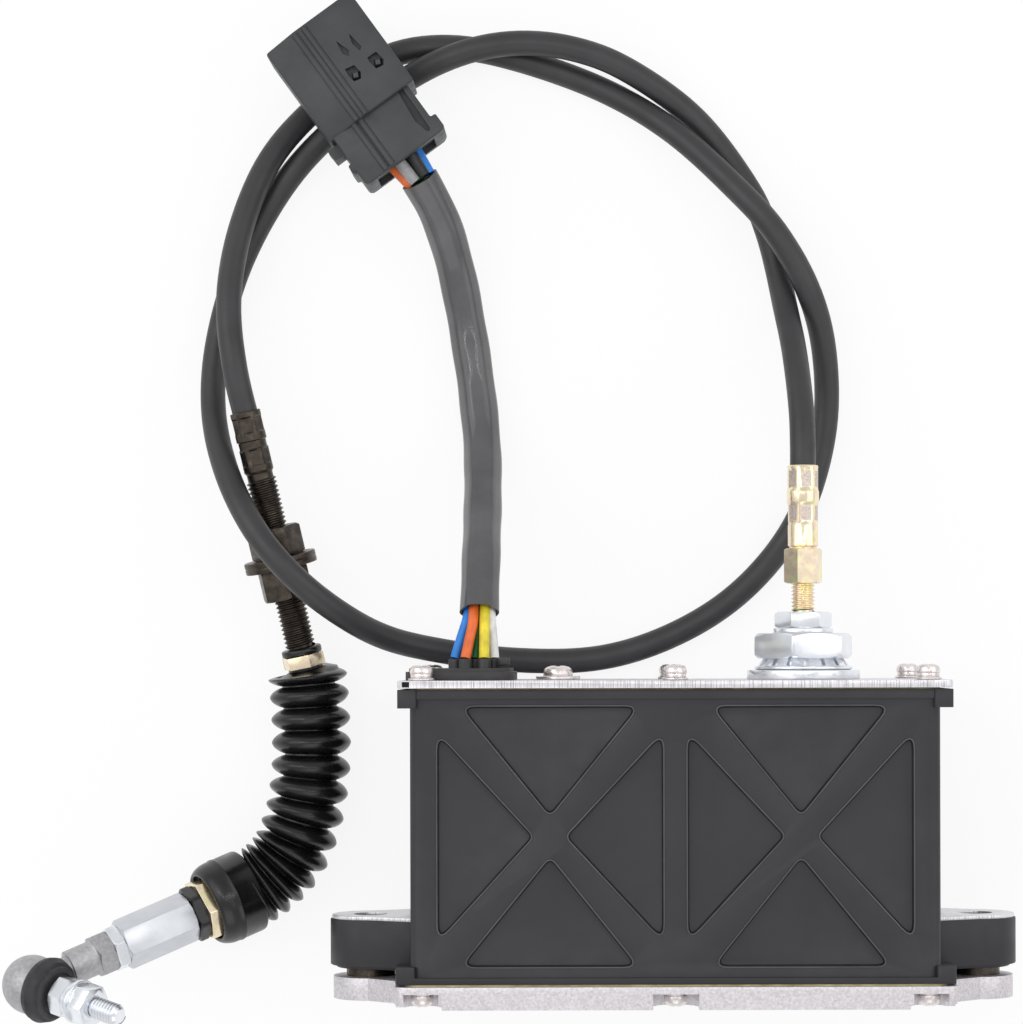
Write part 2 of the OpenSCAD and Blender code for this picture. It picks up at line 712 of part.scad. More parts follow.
module connector_body() {
    top = plug_h / 2;
    color(c_plug) at_plug() difference() {
        union() {
            plug_bar(-22, 29.5, 0);
            plug_bar(5, 6, 2);
            for (y = [-4.6, -2.6]) translate([-21.6, y, top - 0.5]) cube([28.6, 0.8, 1.1]);
        }
        translate([-24, 2.2 - plug_w / 2, 2.2 - top]) cube([19, plug_w - 4.4, plug_h - 5]);
        for (p = [[-11, 3.8], [-10.7, 7.4], [-4.2, 1.8], [-3.4, 9.1]])
            translate([p[0], p[1], top - 1.2]) rotate([0, 0, 12]) cube([4.6, 1.6, 3]);
    }
}

module connector_cover() {
    top = plug_h / 2;
    color(c_plug) at_plug() difference() {
        union() {
            plug_bar(7.5, 14.5, 1.3);
            translate([9.5, -plug_w / 2 - 0.8, -4]) cube([4.4, 3, 8]);
            translate([8, plug_w / 2 - 2, -6]) cube([11, 2.4, 12]);
        }
        plug_bar(6.5, 4.5, 1.95);
        translate([16, plug_w / 2 - 3, -2.5]) cube([3.6, 5, 5]);
        translate([11.5, -9, top - 2.2]) cube([11, 4.4, 3]);
    }
}

module connector_pins() {
    color(c_steel) at_plug() for (i = [-1.5 : 1 : 1.5]) for (z = [-3.6, 3.6])
        translate([-15, i * 5.2, z]) rotate([0, 90, 0]) cylinder(r = 0.8, h = 10, $fn = 16);
}

// One gear tooth's flank: involute from the base circle, thinned for backlash
function inv(a) = tan(a) * 180 / PI - a;
function flank(n, r, k) = let (rp = gear_m * n / 2, rb = rp * cos(20), a = acos(min(1, rb / r)))
    90 / n - k / rp * 180 / PI + inv(20) - inv(a);
function tooth(n, c) = let (rp = gear_m * n / 2, rb = rp * cos(20), rr = rp - 1.1 * gear_m,
        ra = rp + 0.8 * gear_m, lo = max(rb, rr), k = 0.06,
        rs = [for (i = [0 : 3]) lo + (ra - lo) * i / 3])
    concat([rr * [cos(c - flank(n, lo, k) - 1), sin(c - flank(n, lo, k) - 1)]],
        [for (i = [0 : 3]) rs[i] * [cos(c - flank(n, rs[i], k)), sin(c - flank(n, rs[i], k))]],
        [for (i = [3 : -1 : 0]) rs[i] * [cos(c + flank(n, rs[i], k)), sin(c + flank(n, rs[i], k))]],
        [rr * [cos(c + flank(n, lo, k) + 1), sin(c + flank(n, lo, k) + 1)]]);

module gear(n, phase, h) {
    linear_extrude(height = h) polygon([for (i = [0 : n - 1]) each tooth(n, phase + 360 * i / n)]);
}

module gear_motor() {
    color(c_steel) translate([pinion_at[0], pinion_at[1], z_back + wall]) difference() {
        union() {
            cylinder(r = 16, h = 29.5);
            cylinder(r = 5, h = 31.5);
        }
        translate([0, 0, 24]) cylinder(r = 2.55, h = 10);
    }
}

module motor_pinion() {
    color(c_steel) translate([pinion_at[0], pinion_at[1], 0]) {
        translate([0, 0, 31]) cylinder(r = 2.5, h = 20);
        translate([0, 0, 42]) gear(pinion_teeth, pinion_dir + 180 + 180 / pinion_teeth, 8);
    }
}

module idler_gear() {
    color(c_plug) translate([idler_at[0], idler_at[1], 0]) difference() {
        union() {
            translate([0, 0, 42]) gear(idler_teeth, idler_dir + 180 + 180 / idler_teeth, 8);
            translate([0, 0, 40.7]) cylinder(r = 5, h = 2);
        }
        translate([0, 0, 40]) cylinder(r = 2.55, h = 12);
    }
}

module idler_pin() {
    color(c_steel) translate([idler_at[0], idler_at[1], 0]) {
        translate([0, 0, 38]) cylinder(r = 2.45, h = 13);
        translate([0, 0, 50.2]) cylinder(r = 4, h = 1.2);
    }
}

module drum_gear() {
    color(c_plug) translate([drum_at[0], drum_at[1], 0]) {
        translate([0, 0, 8]) cylinder(r = 4, h = 43);
        rotate_extrude() polygon([[0, 28], [20, 28], [20, 29.5], [drum_r - 0.8, 31.6], [drum_r - 0.8, 33.4],
            [20, 35.5], [20, 37], [0, 37]]);
        translate([0, 0, 42]) gear(drum_teeth, idler_dir, 8);
    }
}

module gear_plate() {
    color(c_alu) difference() {
        union() {
            translate([0, 0, 38]) linear_extrude(height = 2.5)
                polygon(soft([[-61, -30], [55, -34], [55, 26], [-61, 26]], 5));
            for (p = [[-57, 21], [-12, 21.5], [50, 21], [50, -29], [-14, -28]])
                translate([p[0], p[1], z_back + wall]) cylinder(r = 3, h = 38 - z_back - wall + 1);
        }
        translate([pinion_at[0], pinion_at[1], 30]) cylinder(r = 5.05, h = 20);
        translate([idler_at[0], idler_at[1], 30]) cylinder(r = 2.5, h = 20);
        translate([drum_at[0], drum_at[1], 30]) cylinder(r = 4.05, h = 20);
    }
}

module position_sensor() {
    color(c_plug) difference() {
        translate([drum_at[0] - 12.5, drum_at[1] - 14, z_back + wall]) cube([27.5, 28, 9]);
        translate([drum_at[0], drum_at[1], z_back]) cylinder(r = 4.05, h = 20);
    }
}

module inner_wire() {
    color(c_steel) rod_y(gland_x, drum_at[1], zm, 0.75, 36 - drum_at[1]);
}

housing();
lid_plate();
lid_gasket();
base_plate();
base_gasket();
lid_screws();
lid_lock_washers();
lid_flat_washers();
base_screws();
base_lock_washers();
clip_screw();
clip_washer();
wire_grommet();
grommet_plug();
mount_blocks();
mount_caps();
mount_sleeves();
gland_body();
gland_washer();
gland_tooth_washer();
gland_nut();
gland_seal_washer();
cable_lock_nut();
cable_ferrule();
control_cable();
end_sleeve();
bracket_nuts();
bracket_washers();
boot_clamp_upper();
boot();
boot_clamp_lower();
hex_coupling();
jam_nut();
rod_end();
dust_cover();
neck_ring();
ball_stud();
stud_lock_washer();
stud_flat_washer();
stud_nut();
harness_sleeve();
wire_blue();
wire_orange();
wire_green();
wire_yellow();
wire_white();
wire_grey();
wire_black();
connector_body();
connector_cover();
connector_pins();
gear_motor();
motor_pinion();
idler_gear();
idler_pin();
drum_gear();
gear_plate();
position_sensor();
inner_wire();
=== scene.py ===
import math

import bmesh
import bpy
from mathutils import Matrix, Vector


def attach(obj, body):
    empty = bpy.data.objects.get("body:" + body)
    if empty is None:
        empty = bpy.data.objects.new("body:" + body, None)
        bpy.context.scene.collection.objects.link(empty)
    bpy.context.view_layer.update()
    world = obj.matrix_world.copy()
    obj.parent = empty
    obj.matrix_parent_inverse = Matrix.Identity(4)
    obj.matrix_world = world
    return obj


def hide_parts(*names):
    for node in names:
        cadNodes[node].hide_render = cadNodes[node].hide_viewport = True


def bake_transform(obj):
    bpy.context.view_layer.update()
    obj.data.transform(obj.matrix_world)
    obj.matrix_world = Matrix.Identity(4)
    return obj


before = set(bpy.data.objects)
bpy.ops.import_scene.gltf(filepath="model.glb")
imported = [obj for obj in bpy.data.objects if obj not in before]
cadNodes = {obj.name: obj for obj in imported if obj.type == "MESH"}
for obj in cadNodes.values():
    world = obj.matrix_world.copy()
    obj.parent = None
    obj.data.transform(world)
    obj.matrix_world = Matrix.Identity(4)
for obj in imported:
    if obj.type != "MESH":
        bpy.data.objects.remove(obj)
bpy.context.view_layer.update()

print("frame loaded,", len(cadNodes), "nodes")

mm = 0.001
pole = 0.001  # a ring this small, in millimetres, is merged to one point
sharpAngle = 32  # faces that meet at more degrees than this keep a hard edge
bpy.context.scene.view_settings.view_transform = "Standard"


def addObject(name, data):
    made = bpy.data.objects.new(name, data)
    bpy.context.scene.collection.objects.link(made)
    return made


# Camera: plumb over the table, with the frame shifted off the lens's own axis as in the photograph
viewPoint = {
    "eye": (-0.01976, 0.03965, 0.827), "roll": -0.14,
    "focalPixels": 2930.0, "framePixels": 1024.0, "axisPixel": (600.0, 658.0),
    "sensorWidth": 36.0, "clip": (0.01, 20.0),
}


def placeCamera(setting):
    data = bpy.data.cameras.new("photoCamera")
    wide, (axisX, axisY) = setting["framePixels"], setting["axisPixel"]
    data.sensor_width = setting["sensorWidth"]
    data.lens = setting["focalPixels"] * setting["sensorWidth"] / wide
    data.shift_x = (0.5 * wide - axisX) / wide
    data.shift_y = (axisY - 0.5 * wide) / wide
    data.clip_start, data.clip_end = setting["clip"]
    camera = addObject("photoCamera", data)
    camera.location = setting["eye"]
    camera.rotation_euler = (0.0, 0.0, math.radians(setting["roll"]))
    bpy.context.scene.camera = camera


placeCamera(viewPoint)
print("camera placed")


def turned(degrees, axis):
    return Matrix.Rotation(math.radians(degrees), 4, axis)


# Places on the object, in millimetres, as the part's source has them
fitPlace = Matrix.Translation((-117.2, 107.7, 20.4)) @ turned(12.5, "Z") @ turned(97, "X")
ballPoint = Vector((-172.3, -47.7, 40))
rodTurn = turned(202.8, "Z") @ turned(64, "Y")
rodPlace = Matrix.Translation(ballPoint - rodTurn @ Vector((0, 0, 50))) @ rodTurn
studPlace = Matrix.Translation(ballPoint) @ turned(-14, "Z") @ turned(58, "Y")
plugPlace = Matrix.Translation((-86.0, 195.1, 20.4)) @ turned(-54, "Z")
ferrulePlace = Matrix.Translation((35.5, 36, 32.5)) @ turned(-90, "X") @ turned(10, "Z")


# Materials: each is a principled shader with its own grain, in object coordinates (metres)
def linear(red, green, blue):
    # a colour picked in bytes, as the shader wants it
    return tuple(((c / 255 + 0.055) / 1.055) ** 2.4 if c > 10 else c / 255 / 12.92
                 for c in (red, green, blue)) + (1.0,)


def startMaterial(name, roughness, metallic=0.0, base=(0.5, 0.5, 0.5, 1.0)):
    material = bpy.data.materials.new(name)
    material.use_nodes = True
    tree = material.node_tree
    tree.nodes.clear()
    shader = tree.nodes.new("ShaderNodeBsdfPrincipled")
    shader.inputs["Roughness"].default_value = roughness
    shader.inputs["Metallic"].default_value = metallic
    shader.inputs["Base Color"].default_value = base
    output = tree.nodes.new("ShaderNodeOutputMaterial")
    tree.links.new(shader.outputs["BSDF"], output.inputs["Surface"])
    return material, tree, shader


def pattern(tree, scale, stretch=(1, 1, 1), detail=3.0, rough=0.55):
    coords = tree.nodes.new("ShaderNodeTexCoord")
    place = tree.nodes.new("ShaderNodeMapping")
    place.inputs["Scale"].default_value = stretch
    texture = tree.nodes.new("ShaderNodeTexNoise")
    texture.inputs["Scale"].default_value = scale
    texture.inputs["Detail"].default_value = detail
    texture.inputs["Roughness"].default_value = rough
    tree.links.new(coords.outputs["Object"], place.inputs["Vector"])
    tree.links.new(place.outputs["Vector"], texture.inputs["Vector"])
    return texture.outputs["Fac"]


def tinted(tree, factor, stops):
    # a run of colours, each at its place between 0 and 1
    ramp = tree.nodes.new("ShaderNodeValToRGB")
    points = ramp.color_ramp.elements
    while len(points) < len(stops):
        points.new(0.5)
    for point, (position, colour) in zip(points, stops):
        point.position = position
        point.color = colour
    tree.links.new(factor, ramp.inputs["Fac"])
    return ramp.outputs["Color"]


def ranged(tree, factor, low, high, start=0.3, end=0.7):
    fit = tree.nodes.new("ShaderNodeMapRange")
    fit.inputs["From Min"].default_value = start
    fit.inputs["From Max"].default_value = end
    fit.inputs["To Min"].default_value = low
    fit.inputs["To Max"].default_value = high
    tree.links.new(factor, fit.inputs["Value"])
    return fit.outputs["Result"]


def layered(tree, factor, under, over, how="MIX"):
    # a second colour over the first, where the factor lets it through
    mix = tree.nodes.new("ShaderNodeMix")
    mix.data_type = "RGBA"
    mix.blend_type = how
    tree.links.new(factor, mix.inputs["Factor"])
    tree.links.new(under, mix.inputs["A"])
    if isinstance(over, tuple):
        mix.inputs["B"].default_value = over
    else:
        tree.links.new(over, mix.inputs["B"])
    return mix.outputs["Result"]


def bumped(tree, shader, height, strength, distance):
    bump = tree.nodes.new("ShaderNodeBump")
    bump.inputs["Strength"].default_value = strength
    bump.inputs["Distance"].default_value = distance
    tree.links.new(height, bump.inputs["Height"])
    tree.links.new(bump.outputs["Normal"], shader.inputs["Normal"])


def surfaced(tree, shader, look, tone, wear, grain, strength):
    # one look's colour, gloss and grain
    tree.links.new(tone, shader.inputs["Base Color"])
    tree.links.new(ranged(tree, wear, *look["rough"]), shader.inputs["Roughness"])
    bumped(tree, shader, grain, strength, look["depth"])


plastics = {
    "caseBlack": {"dark": (35, 35, 39), "light": (43, 43, 48), "rough": (0.44, 0.56), "grain": 2600,
                  "depth": 0.00003, "cloud": 38},
    # the lip's lighter tone is a painted highlight along the pocket rims
    "lipPaintedHighlight": {"dark": (62, 62, 68), "light": (78, 78, 84), "rough": (0.34, 0.46), "grain": 2600,
                 "depth": 0.00001, "cloud": 60},
    # painted shade: a dark line on the pocket floors, and on the lid notch's floor
    "paintedShadeBlack": {"dark": (9, 9, 11), "light": (16, 16, 18), "rough": (0.6, 0.8), "grain": 2600,
                  "depth": 0.00001, "cloud": 60},
    "plugBlack": {"dark": (48, 50, 53), "light": (62, 64, 67), "rough": (0.42, 0.56), "grain": 1900,
                  "depth": 0.00003, "cloud": 60},
    "grommetBlack": {"dark": (46, 46, 48), "light": (58, 58, 60), "rough": (0.42, 0.6), "grain": 1500,
                     "depth": 0.00002, "cloud": 90},
    "gearNylon": {"dark": (196, 192, 176), "light": (226, 223, 210), "rough": (0.45, 0.6), "grain": 1500,
                  "depth": 0.00002, "cloud": 70},
    "paperGasket": {"dark": (150, 138, 92), "light": (198, 188, 140), "rough": (0.75, 0.95), "grain": 3200,
                    "depth": 0.00004, "cloud": 260},
    "coverRubber": {"dark": (30, 30, 33), "light": (52, 52, 56), "rough": (0.5, 0.7), "grain": 1300,
                    "depth": 0.00004, "cloud": 120},
}


def plasticFinish(name, look):
    material, tree, shader = startMaterial(name, 0.5)
    cloud = pattern(tree, look["cloud"], detail=4.0)
    tone = tinted(tree, cloud, [(0.32, linear(*look["dark"])), (0.68, linear(*look["light"]))])
    wear = pattern(tree, look["cloud"] * 4.3, detail=5.0)
    surfaced(tree, shader, look, tone, wear, pattern(tree, look["grain"], detail=2.0), 0.5)
    return material


metals = {
    "lidSheet": {"stops": [(0.3, (214, 212, 216)), (0.7, (238, 236, 240))], "rough": (0.28, 0.44),
                 "metallic": 0.62, "grain": 900, "stretch": (1, 1, 0.06), "depth": 0.00003, "cloud": 420,
                 "shear": 0.85},
    "castAluminium": {"stops": [(0.3, (198, 194, 198)), (0.55, (220, 216, 220)), (0.75, (238, 235, 239))],
                      "rough": (0.42, 0.62), "metallic": 0.85, "grain": 1400, "depth": 0.0001,
                      "cloud": 1500},
    "brightZinc": {"stops": [(0.3, (229, 233, 239)), (0.7, (241, 243, 247))], "rough": (0.21, 0.25),
                   "metallic": 0.8, "grain": 1500, "depth": 0.00002, "cloud": 210},
    "padZinc": {"stops": [(0.35, (186, 172, 166)), (0.65, (222, 210, 198))], "rough": (0.34, 0.44),
                "metallic": 0.8, "grain": 2600, "depth": 0.00005, "cloud": 1800},
    "nickel": {"stops": [(0.3, (214, 206, 204)), (0.7, (240, 234, 232))], "rough": (0.24, 0.36),
               "metallic": 0.9, "grain": 1500, "depth": 0.00002, "cloud": 900},
    "mattZinc": {"stops": [(0.3, (198, 201, 206)), (0.7, (212, 214, 219))], "rough": (0.29, 0.31),
                 "metallic": 0.75, "grain": 2200, "depth": 0.00002, "cloud": 150},
    "yellowZinc": {"stops": [(0.28, (244, 226, 176)), (0.45, (250, 240, 200)), (0.55, (244, 220, 200)),
                             (0.66, (232, 232, 184)), (0.78, (250, 242, 214))],
                   "rough": (0.20, 0.26), "metallic": 0.9, "grain": 1700, "depth": 0.00002, "cloud": 190},
    "oiledSteel": {"stops": [(0.32, (58, 52, 47)), (0.6, (84, 77, 70)), (0.8, (118, 108, 98))],
                   "rough": (0.26, 0.48), "metallic": 0.95, "grain": 1300, "depth": 0.00003, "cloud": 320},
    "blastedSteel": {"stops": [(0.3, (168, 167, 170)), (0.7, (194, 193, 196))], "rough": (0.42, 0.58),
                     "metallic": 0.9, "grain": 1900, "depth": 0.00008, "cloud": 900},
    "plainSteel": {"stops": [(0.3, (150, 152, 156)), (0.7, (186, 188, 192))], "rough": (0.3, 0.45),
                   "metallic": 1.0, "grain": 900, "depth": 0.00002, "cloud": 120},
    "tinnedPin": {"stops": [(0.3, (190, 188, 180)), (0.7, (222, 220, 212))], "rough": (0.2, 0.3),
                  "metallic": 1.0, "grain": 1500, "depth": 0.00001, "cloud": 300},
}


def shearedEdge(tree, shader, contrast):
    # fine upright lines where the sheet's cut edge faces up or down
    facing = tree.nodes.new("ShaderNodeNewGeometry")
    split = tree.nodes.new("ShaderNodeSeparateXYZ")
    size = tree.nodes.new("ShaderNodeMath")
    size.operation = "ABSOLUTE"
    tree.links.new(facing.outputs["True Normal"], split.inputs["Vector"])
    tree.links.new(split.outputs["Z"], size.inputs[0])
    lines = pattern(tree, 3000, (1, 0.02, 0.02), detail=2.0, rough=0.6)
    strokes = tinted(tree, lines, [(0.40, linear(186, 186, 188)), (0.52, linear(255, 255, 255))])
    plain = shader.inputs["Base Color"].links[0].from_socket
    share = ranged(tree, size.outputs[0], 0.0, contrast, 0.8, 0.95)
    tree.links.new(layered(tree, share, plain, strokes, "MULTIPLY"), shader.inputs["Base Color"])


def metalFinish(name, look):
    material, tree, shader = startMaterial(name, 0.3, look["metallic"])
    cloud = pattern(tree, look["cloud"], detail=4.0, rough=0.6)
    tone = tinted(tree, cloud, [(at, linear(*colour)) for at, colour in look["stops"]])
    wear = pattern(tree, look["cloud"] * 2.7, detail=5.0)
    grain = pattern(tree, look["grain"], look.get("stretch", (1, 1, 1)), detail=4.0)
    surfaced(tree, shader, look, tone, wear, grain, 0.6)
    if "shear" in look:
        shearedEdge(tree, shader, look["shear"])
    return material


rubbers = {
    "bootRubber": {"dark": (9, 9, 10), "light": (22, 22, 24), "rough": (0.20, 0.34), "grain": 700,
                   "depth": 0.00003, "bloom": (42, 42, 45)},
    "coverVinyl": {"dark": (44, 44, 46), "light": (54, 54, 56), "rough": (0.40, 0.52), "grain": 1600,
                   "depth": 0.00002, "bloom": (66, 66, 68)},
    "sleeveVinyl": {"dark": (80, 80, 82), "light": (94, 94, 96), "rough": (0.14, 0.24), "grain": 420,
                    "depth": 0.00006, "bloom": (104, 104, 106)},
}


def rubberFinish(name, look):
    material, tree, shader = startMaterial(name, 0.3)
    cloud = pattern(tree, 75, detail=4.0)
    dust = ranged(tree, pattern(tree, 520, detail=6.0, rough=0.7), 0.0, 1.0, 0.66, 0.80)
    tone = tinted(tree, cloud, [(0.3, linear(*look["dark"])), (0.7, linear(*look["light"]))])
    tone = layered(tree, dust, tone, linear(*look["bloom"]))
    wear = pattern(tree, 230, detail=4.0)
    surfaced(tree, shader, look, tone, wear, pattern(tree, look["grain"], detail=3.0), 0.5)
    return material


insulations = {
    "wire_blue": (44, 144, 244), "wire_orange": (255, 122, 58), "wire_green": (22, 122, 60),
    "wire_yellow": (255, 234, 62), "wire_white": (252, 252, 252), "wire_grey": (164, 164, 166),
    "wire_black": (24, 24, 26),
}


def insulationFinish(name, colour):
    material, tree, shader = startMaterial(name, 0.35)
    deep = tuple(0.82 * c for c in colour)
    cloud = pattern(tree, 260, detail=3.0)
    tone = tinted(tree, cloud, [(0.3, linear(*deep)), (0.7, linear(*colour))])
    tree.links.new(tone, shader.inputs["Base Color"])
    bumped(tree, shader, pattern(tree, 1400, detail=2.0), 0.4, 0.00002)
    return material


finishes = {}
for name, look in plastics.items():
    finishes[name] = plasticFinish(name, look)
for name, look in metals.items():
    finishes[name] = metalFinish(name, look)
for name, look in rubbers.items():
    finishes[name] = rubberFinish(name, look)
for name, colour in insulations.items():
    finishes[name] = insulationFinish(name + "_vinyl", colour)
print("materials made,", len(finishes))


# Making a piece: a bmesh in millimetres, put in its place and scaled to metres
def finishPiece(bm, name, finish, body="unit", place=None, replaced=(), sharp=sharpAngle,
                weld=True):
    if weld:
        bmesh.ops.remove_doubles(bm, verts=bm.verts, dist=2 * pole)
        bmesh.ops.recalc_face_normals(bm, faces=bm.faces)
    if place is not None:
        bmesh.ops.transform(bm, matrix=place, verts=bm.verts)
    bmesh.ops.scale(bm, vec=(mm, mm, mm), verts=bm.verts)
    mesh = bpy.data.meshes.new(name)
    bm.to_mesh(mesh)
    bm.free()
    mesh.shade_smooth()
    mesh.set_sharp_from_angle(angle=math.radians(sharp))
    mesh.materials.append(finishes[finish])
    piece = addObject(name, mesh)
    if body:
        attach(piece, body)
    if replaced:
        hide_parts(*replaced)
    return piece


# Rings stacked along Z: each is (radius, height), where either may be a function of the angle
def stackRings(bm, rings, steps):
    first = bmesh.ops.create_circle(bm, segments=steps, radius=1.0, cap_ends=False)["verts"]
    edges = list(dict.fromkeys(edge for vert in first for edge in vert.link_edges))
    stack = [list(first)]
    for _ in rings[1:]:
        made = bmesh.ops.extrude_edge_only(bm, edges=edges)["geom"]
        verts = [part for part in made if isinstance(part, bmesh.types.BMVert)]
        fresh = set(verts)
        edges = [part for part in made if isinstance(part, bmesh.types.BMEdge)
                 and part.verts[0] in fresh and part.verts[1] in fresh]
        stack.append(verts)
    for verts, (radius, height) in zip(stack, rings):
        for vert in verts:
            angle = math.atan2(vert.co.y, vert.co.x)
            r = radius(angle) if callable(radius) else radius
            z = height(angle) if callable(height) else height
            vert.co = (r * math.cos(angle), r * math.sin(angle), z)


def ringPiece(section, name, finish, body, place):
    # a closed section, in (radius, height), turned round Z
    bm = bmesh.new()
    stackRings(bm, section + section[:1], 72)
    finishPiece(bm, name, finish, body=body, place=place, sharp=50)


def rodRings(radius, low, high):
    return [(pole, low), (radius, low), (radius, high), (pole, high)]


def flatReach(flats, angle, corner=1.0):
    # distance to a hexagon's side, with its corners drawn in to a share of their reach
    off = (angle % (math.pi / 3)) - math.pi / 6
    return min(flats / 2 / math.cos(off), corner * flats / math.sqrt(3))


def crimpRings(flats, low, high, corner=0.97):
    # two rings pressed to a blunt hexagon
    return [(lambda angle: flatReach(flats, angle, corner), height) for height in (low, high)]


# Hexagon with the curved chamfer of a real nut on both faces
def hexRings(flats, low, high, bore=pole, lean=30, corner=1.0):
    start = flats / 2 * 0.985  # the chamfer begins just inside the flats
    rise = math.tan(math.radians(lean))

    def side(angle):
        return flatReach(flats, angle, corner)

    def rim(angle):
        return min(start, side(angle))

    def drop(angle):
        return max(0.0, side(angle) - start) * rise

    return [(bore, low), (rim, low), (side, lambda a: low + drop(a)), (side, lambda a: high - drop(a)),
            (rim, high), (bore, high)]


# Screw thread: one pitch of the profile spun upwards
def threadOn(bm, crest, depth, pitch, low, high):
    steps, root = 22, crest - depth
    # (radius, share of the pitch)
    strip = [(root, 0.0), (root, 0.12), (crest, 0.46), (crest, 0.60), (root, 0.94), (root, 1.0)]
    verts = [bm.verts.new((r, 0.0, low + h * pitch)) for r, h in strip]
    edges = [bm.edges.new(pair) for pair in zip(verts, verts[1:])]
    turns = int((high - low) / pitch)
    bmesh.ops.spin(bm, geom=verts + edges, cent=(0, 0, 0), axis=(0, 0, 1), dvec=(0, 0, pitch / steps),
                   angle=math.radians(360 * turns), steps=steps * turns, use_merge=False,
                   use_duplicate=False)


def splineAt(points, i, t):
    # a place between two of the points, on a smooth curve through all of them
    a, b = points[max(i - 1, 0)], points[i]
    c, d = points[i + 1], points[min(i + 2, len(points) - 1)]
    return 0.5 * (2 * b + (c - a) * t + (2 * a - 5 * b + 4 * c - d) * t * t
                  + (3 * b - a - 3 * c + d) * t ** 3)


def lineLength(line):
    return sum((q - p).length for p, q in zip(line, line[1:]))


# Smooth line through listed points, evened out to a fixed step
def smoothLine(points, step):
    spanSteps, rounds = 24, 40
    points = [Vector(p) for p in points]
    dense = [splineAt(points, i, k / spanSteps) for i in range(len(points) - 1) for k in range(spanSteps)]
    dense.append(points[-1])
    for _ in range(rounds):
        dense = dense[:2] + [(dense[i - 1] + dense[i] * 2 + dense[i + 1]) / 4
                             for i in range(2, len(dense) - 2)] + dense[-2:]
    total = lineLength(dense)
    count = max(2, round(total / step))
    line, walked, target = [dense[0]], 0.0, total / count
    for p, q in zip(dense, dense[1:]):
        length = (q - p).length
        while walked + length >= target - 1e-9 and len(line) < count:
            line.append(p.lerp(q, (target - walked) / length))
            target += total / count
        walked += length
    return line + [dense[-1]]


def restingLine(setting, step):
    # a cord's middle line, never lower over the floor than its radius
    line = smoothLine(setting["points"], step)
    return [Vector((p.x, p.y, max(p.z, setting["radius"]))) for p in line]


# Tube along a line: a curve with a round bevel, or one with its own section
def tubeCurve(name, lines, radius, swell=None, roundness=4, section=None):
    data = bpy.data.curves.new(name, "CURVE")
    data.dimensions = "3D"
    data.twist_mode = "MINIMUM"
    if section:
        data.bevel_mode = "OBJECT"
        data.bevel_object = section
    data.bevel_depth = radius * mm
    data.bevel_resolution = roundness
    data.use_fill_caps = not section
    for line in lines:
        spline = data.splines.new("POLY")
        spline.points.add(len(line) - 1)
        for i, (point, at) in enumerate(zip(spline.points, line)):
            point.co = (at[0] * mm, at[1] * mm, at[2] * mm, 1.0)
            point.radius = swell(i, len(line)) if swell else 1.0
        spline.use_smooth = True
    return addObject(name, data)


def bakedMesh(piece):
    # the mesh that a curve or an object with modifiers comes to
    return bpy.data.meshes.new_from_object(piece.evaluated_get(bpy.context.evaluated_depsgraph_get()))


def asMesh(piece):
    # a curve and its modifiers as one mesh, under the same name
    mesh, name = bakedMesh(piece), piece.name
    bpy.data.objects.remove(piece)
    mesh.name = name
    mesh.shade_smooth()
    mesh.set_sharp_from_angle(angle=math.radians(50))
    return addObject(name, mesh)


def dressCord(piece, finish, replaced):
    piece.data.materials.append(finishes[finish])
    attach(piece, "unit")
    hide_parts(replaced)


# The control cable lies in a loose double loop, over and under itself
controlCable = {
    "radius": 3.5,
    "points": [
        (35.5, 89.75, 32.5), (35.5, 92.5, 32.5), (35.5, 98, 32.2), (35.4, 105.5, 30.4), (34.8, 115.5, 25.6),
        (33.8, 126.5, 18.6), (32.1, 137.5, 11.4), (30.2, 149, 6), (27.4, 160, 3.9), (22.3, 171.5, 3.5),
        (7.5, 191, 4.5), (-12, 204.2, 8.6), (-27, 209.5, 10.6), (-41, 211, 11), (-54, 209.4, 10.6),
        (-66, 205.4, 8.7), (-77, 199.6, 6.4), (-89, 192.2, 5.3), (-106, 175.8, 3.8), (-119.5, 153, 3.5),
        (-126.5, 130, 4.2), (-127.5, 110, 9), (-122.8, 92, 19), (-114.5, 76, 27.6), (-104.5, 63.5, 29.7),
        (-93, 53.5, 24.4), (-80.5, 46, 15), (-66.5, 42.2, 7.6), (-45, 39.2, 3.8), (-20, 39.5, 3.5),
        (2, 46.5, 3.5), (21, 59, 3.5), (36, 78, 3.5), (43.5, 102, 4), (43.5, 124, 7.4), (38.8, 141, 13.4),
        (29.8, 157, 15), (19, 169.5, 13.2), (1, 187, 8), (-20, 200, 3.9), (-46, 209, 3.5), (-64, 211.5, 3.5),
        (-80, 208.4, 3.5), (-95, 198, 4), (-110.5, 181, 7.5), (-119, 160, 12.6), (-121.9, 139, 18.6),
        (-119.9, 120, 21.9), (-116.8, 105.9, 20.1),
    ],
}


def makeControlCable(setting):
    line = restingLine(setting, 2.5)
    piece = tubeCurve("controlCable", [line], setting["radius"], roundness=6)
    dressCord(piece, "coverVinyl", "control_cable")
    print("control cable,", round(lineLength(line)), "mm")
    return piece, line


cablePiece, cableLine = makeControlCable(controlCable)

# The grey sleeve over the wires, from the connector down to the grommet
harness = {
    "radius": 5.35, "wall": 0.55, "sides": 48,
    "ridges": 6, "ridgeDepth": 0.32, "ridgeTurn": 0.8,  # the wires within press soft ridges into the vinyl
    "dent": 0.035, "dentPace": 0.37,
    "points": [(-69, 171.6, 20.4), (-63.5, 161.5, 15.5), (-59.5, 148, 8.8), (-56.5, 132, 5.5),
               (-54, 115, 5.5), (-52.3, 98, 9), (-51.8, 82, 20), (-51.8, 67, 32), (-52, 52, 40)],
}


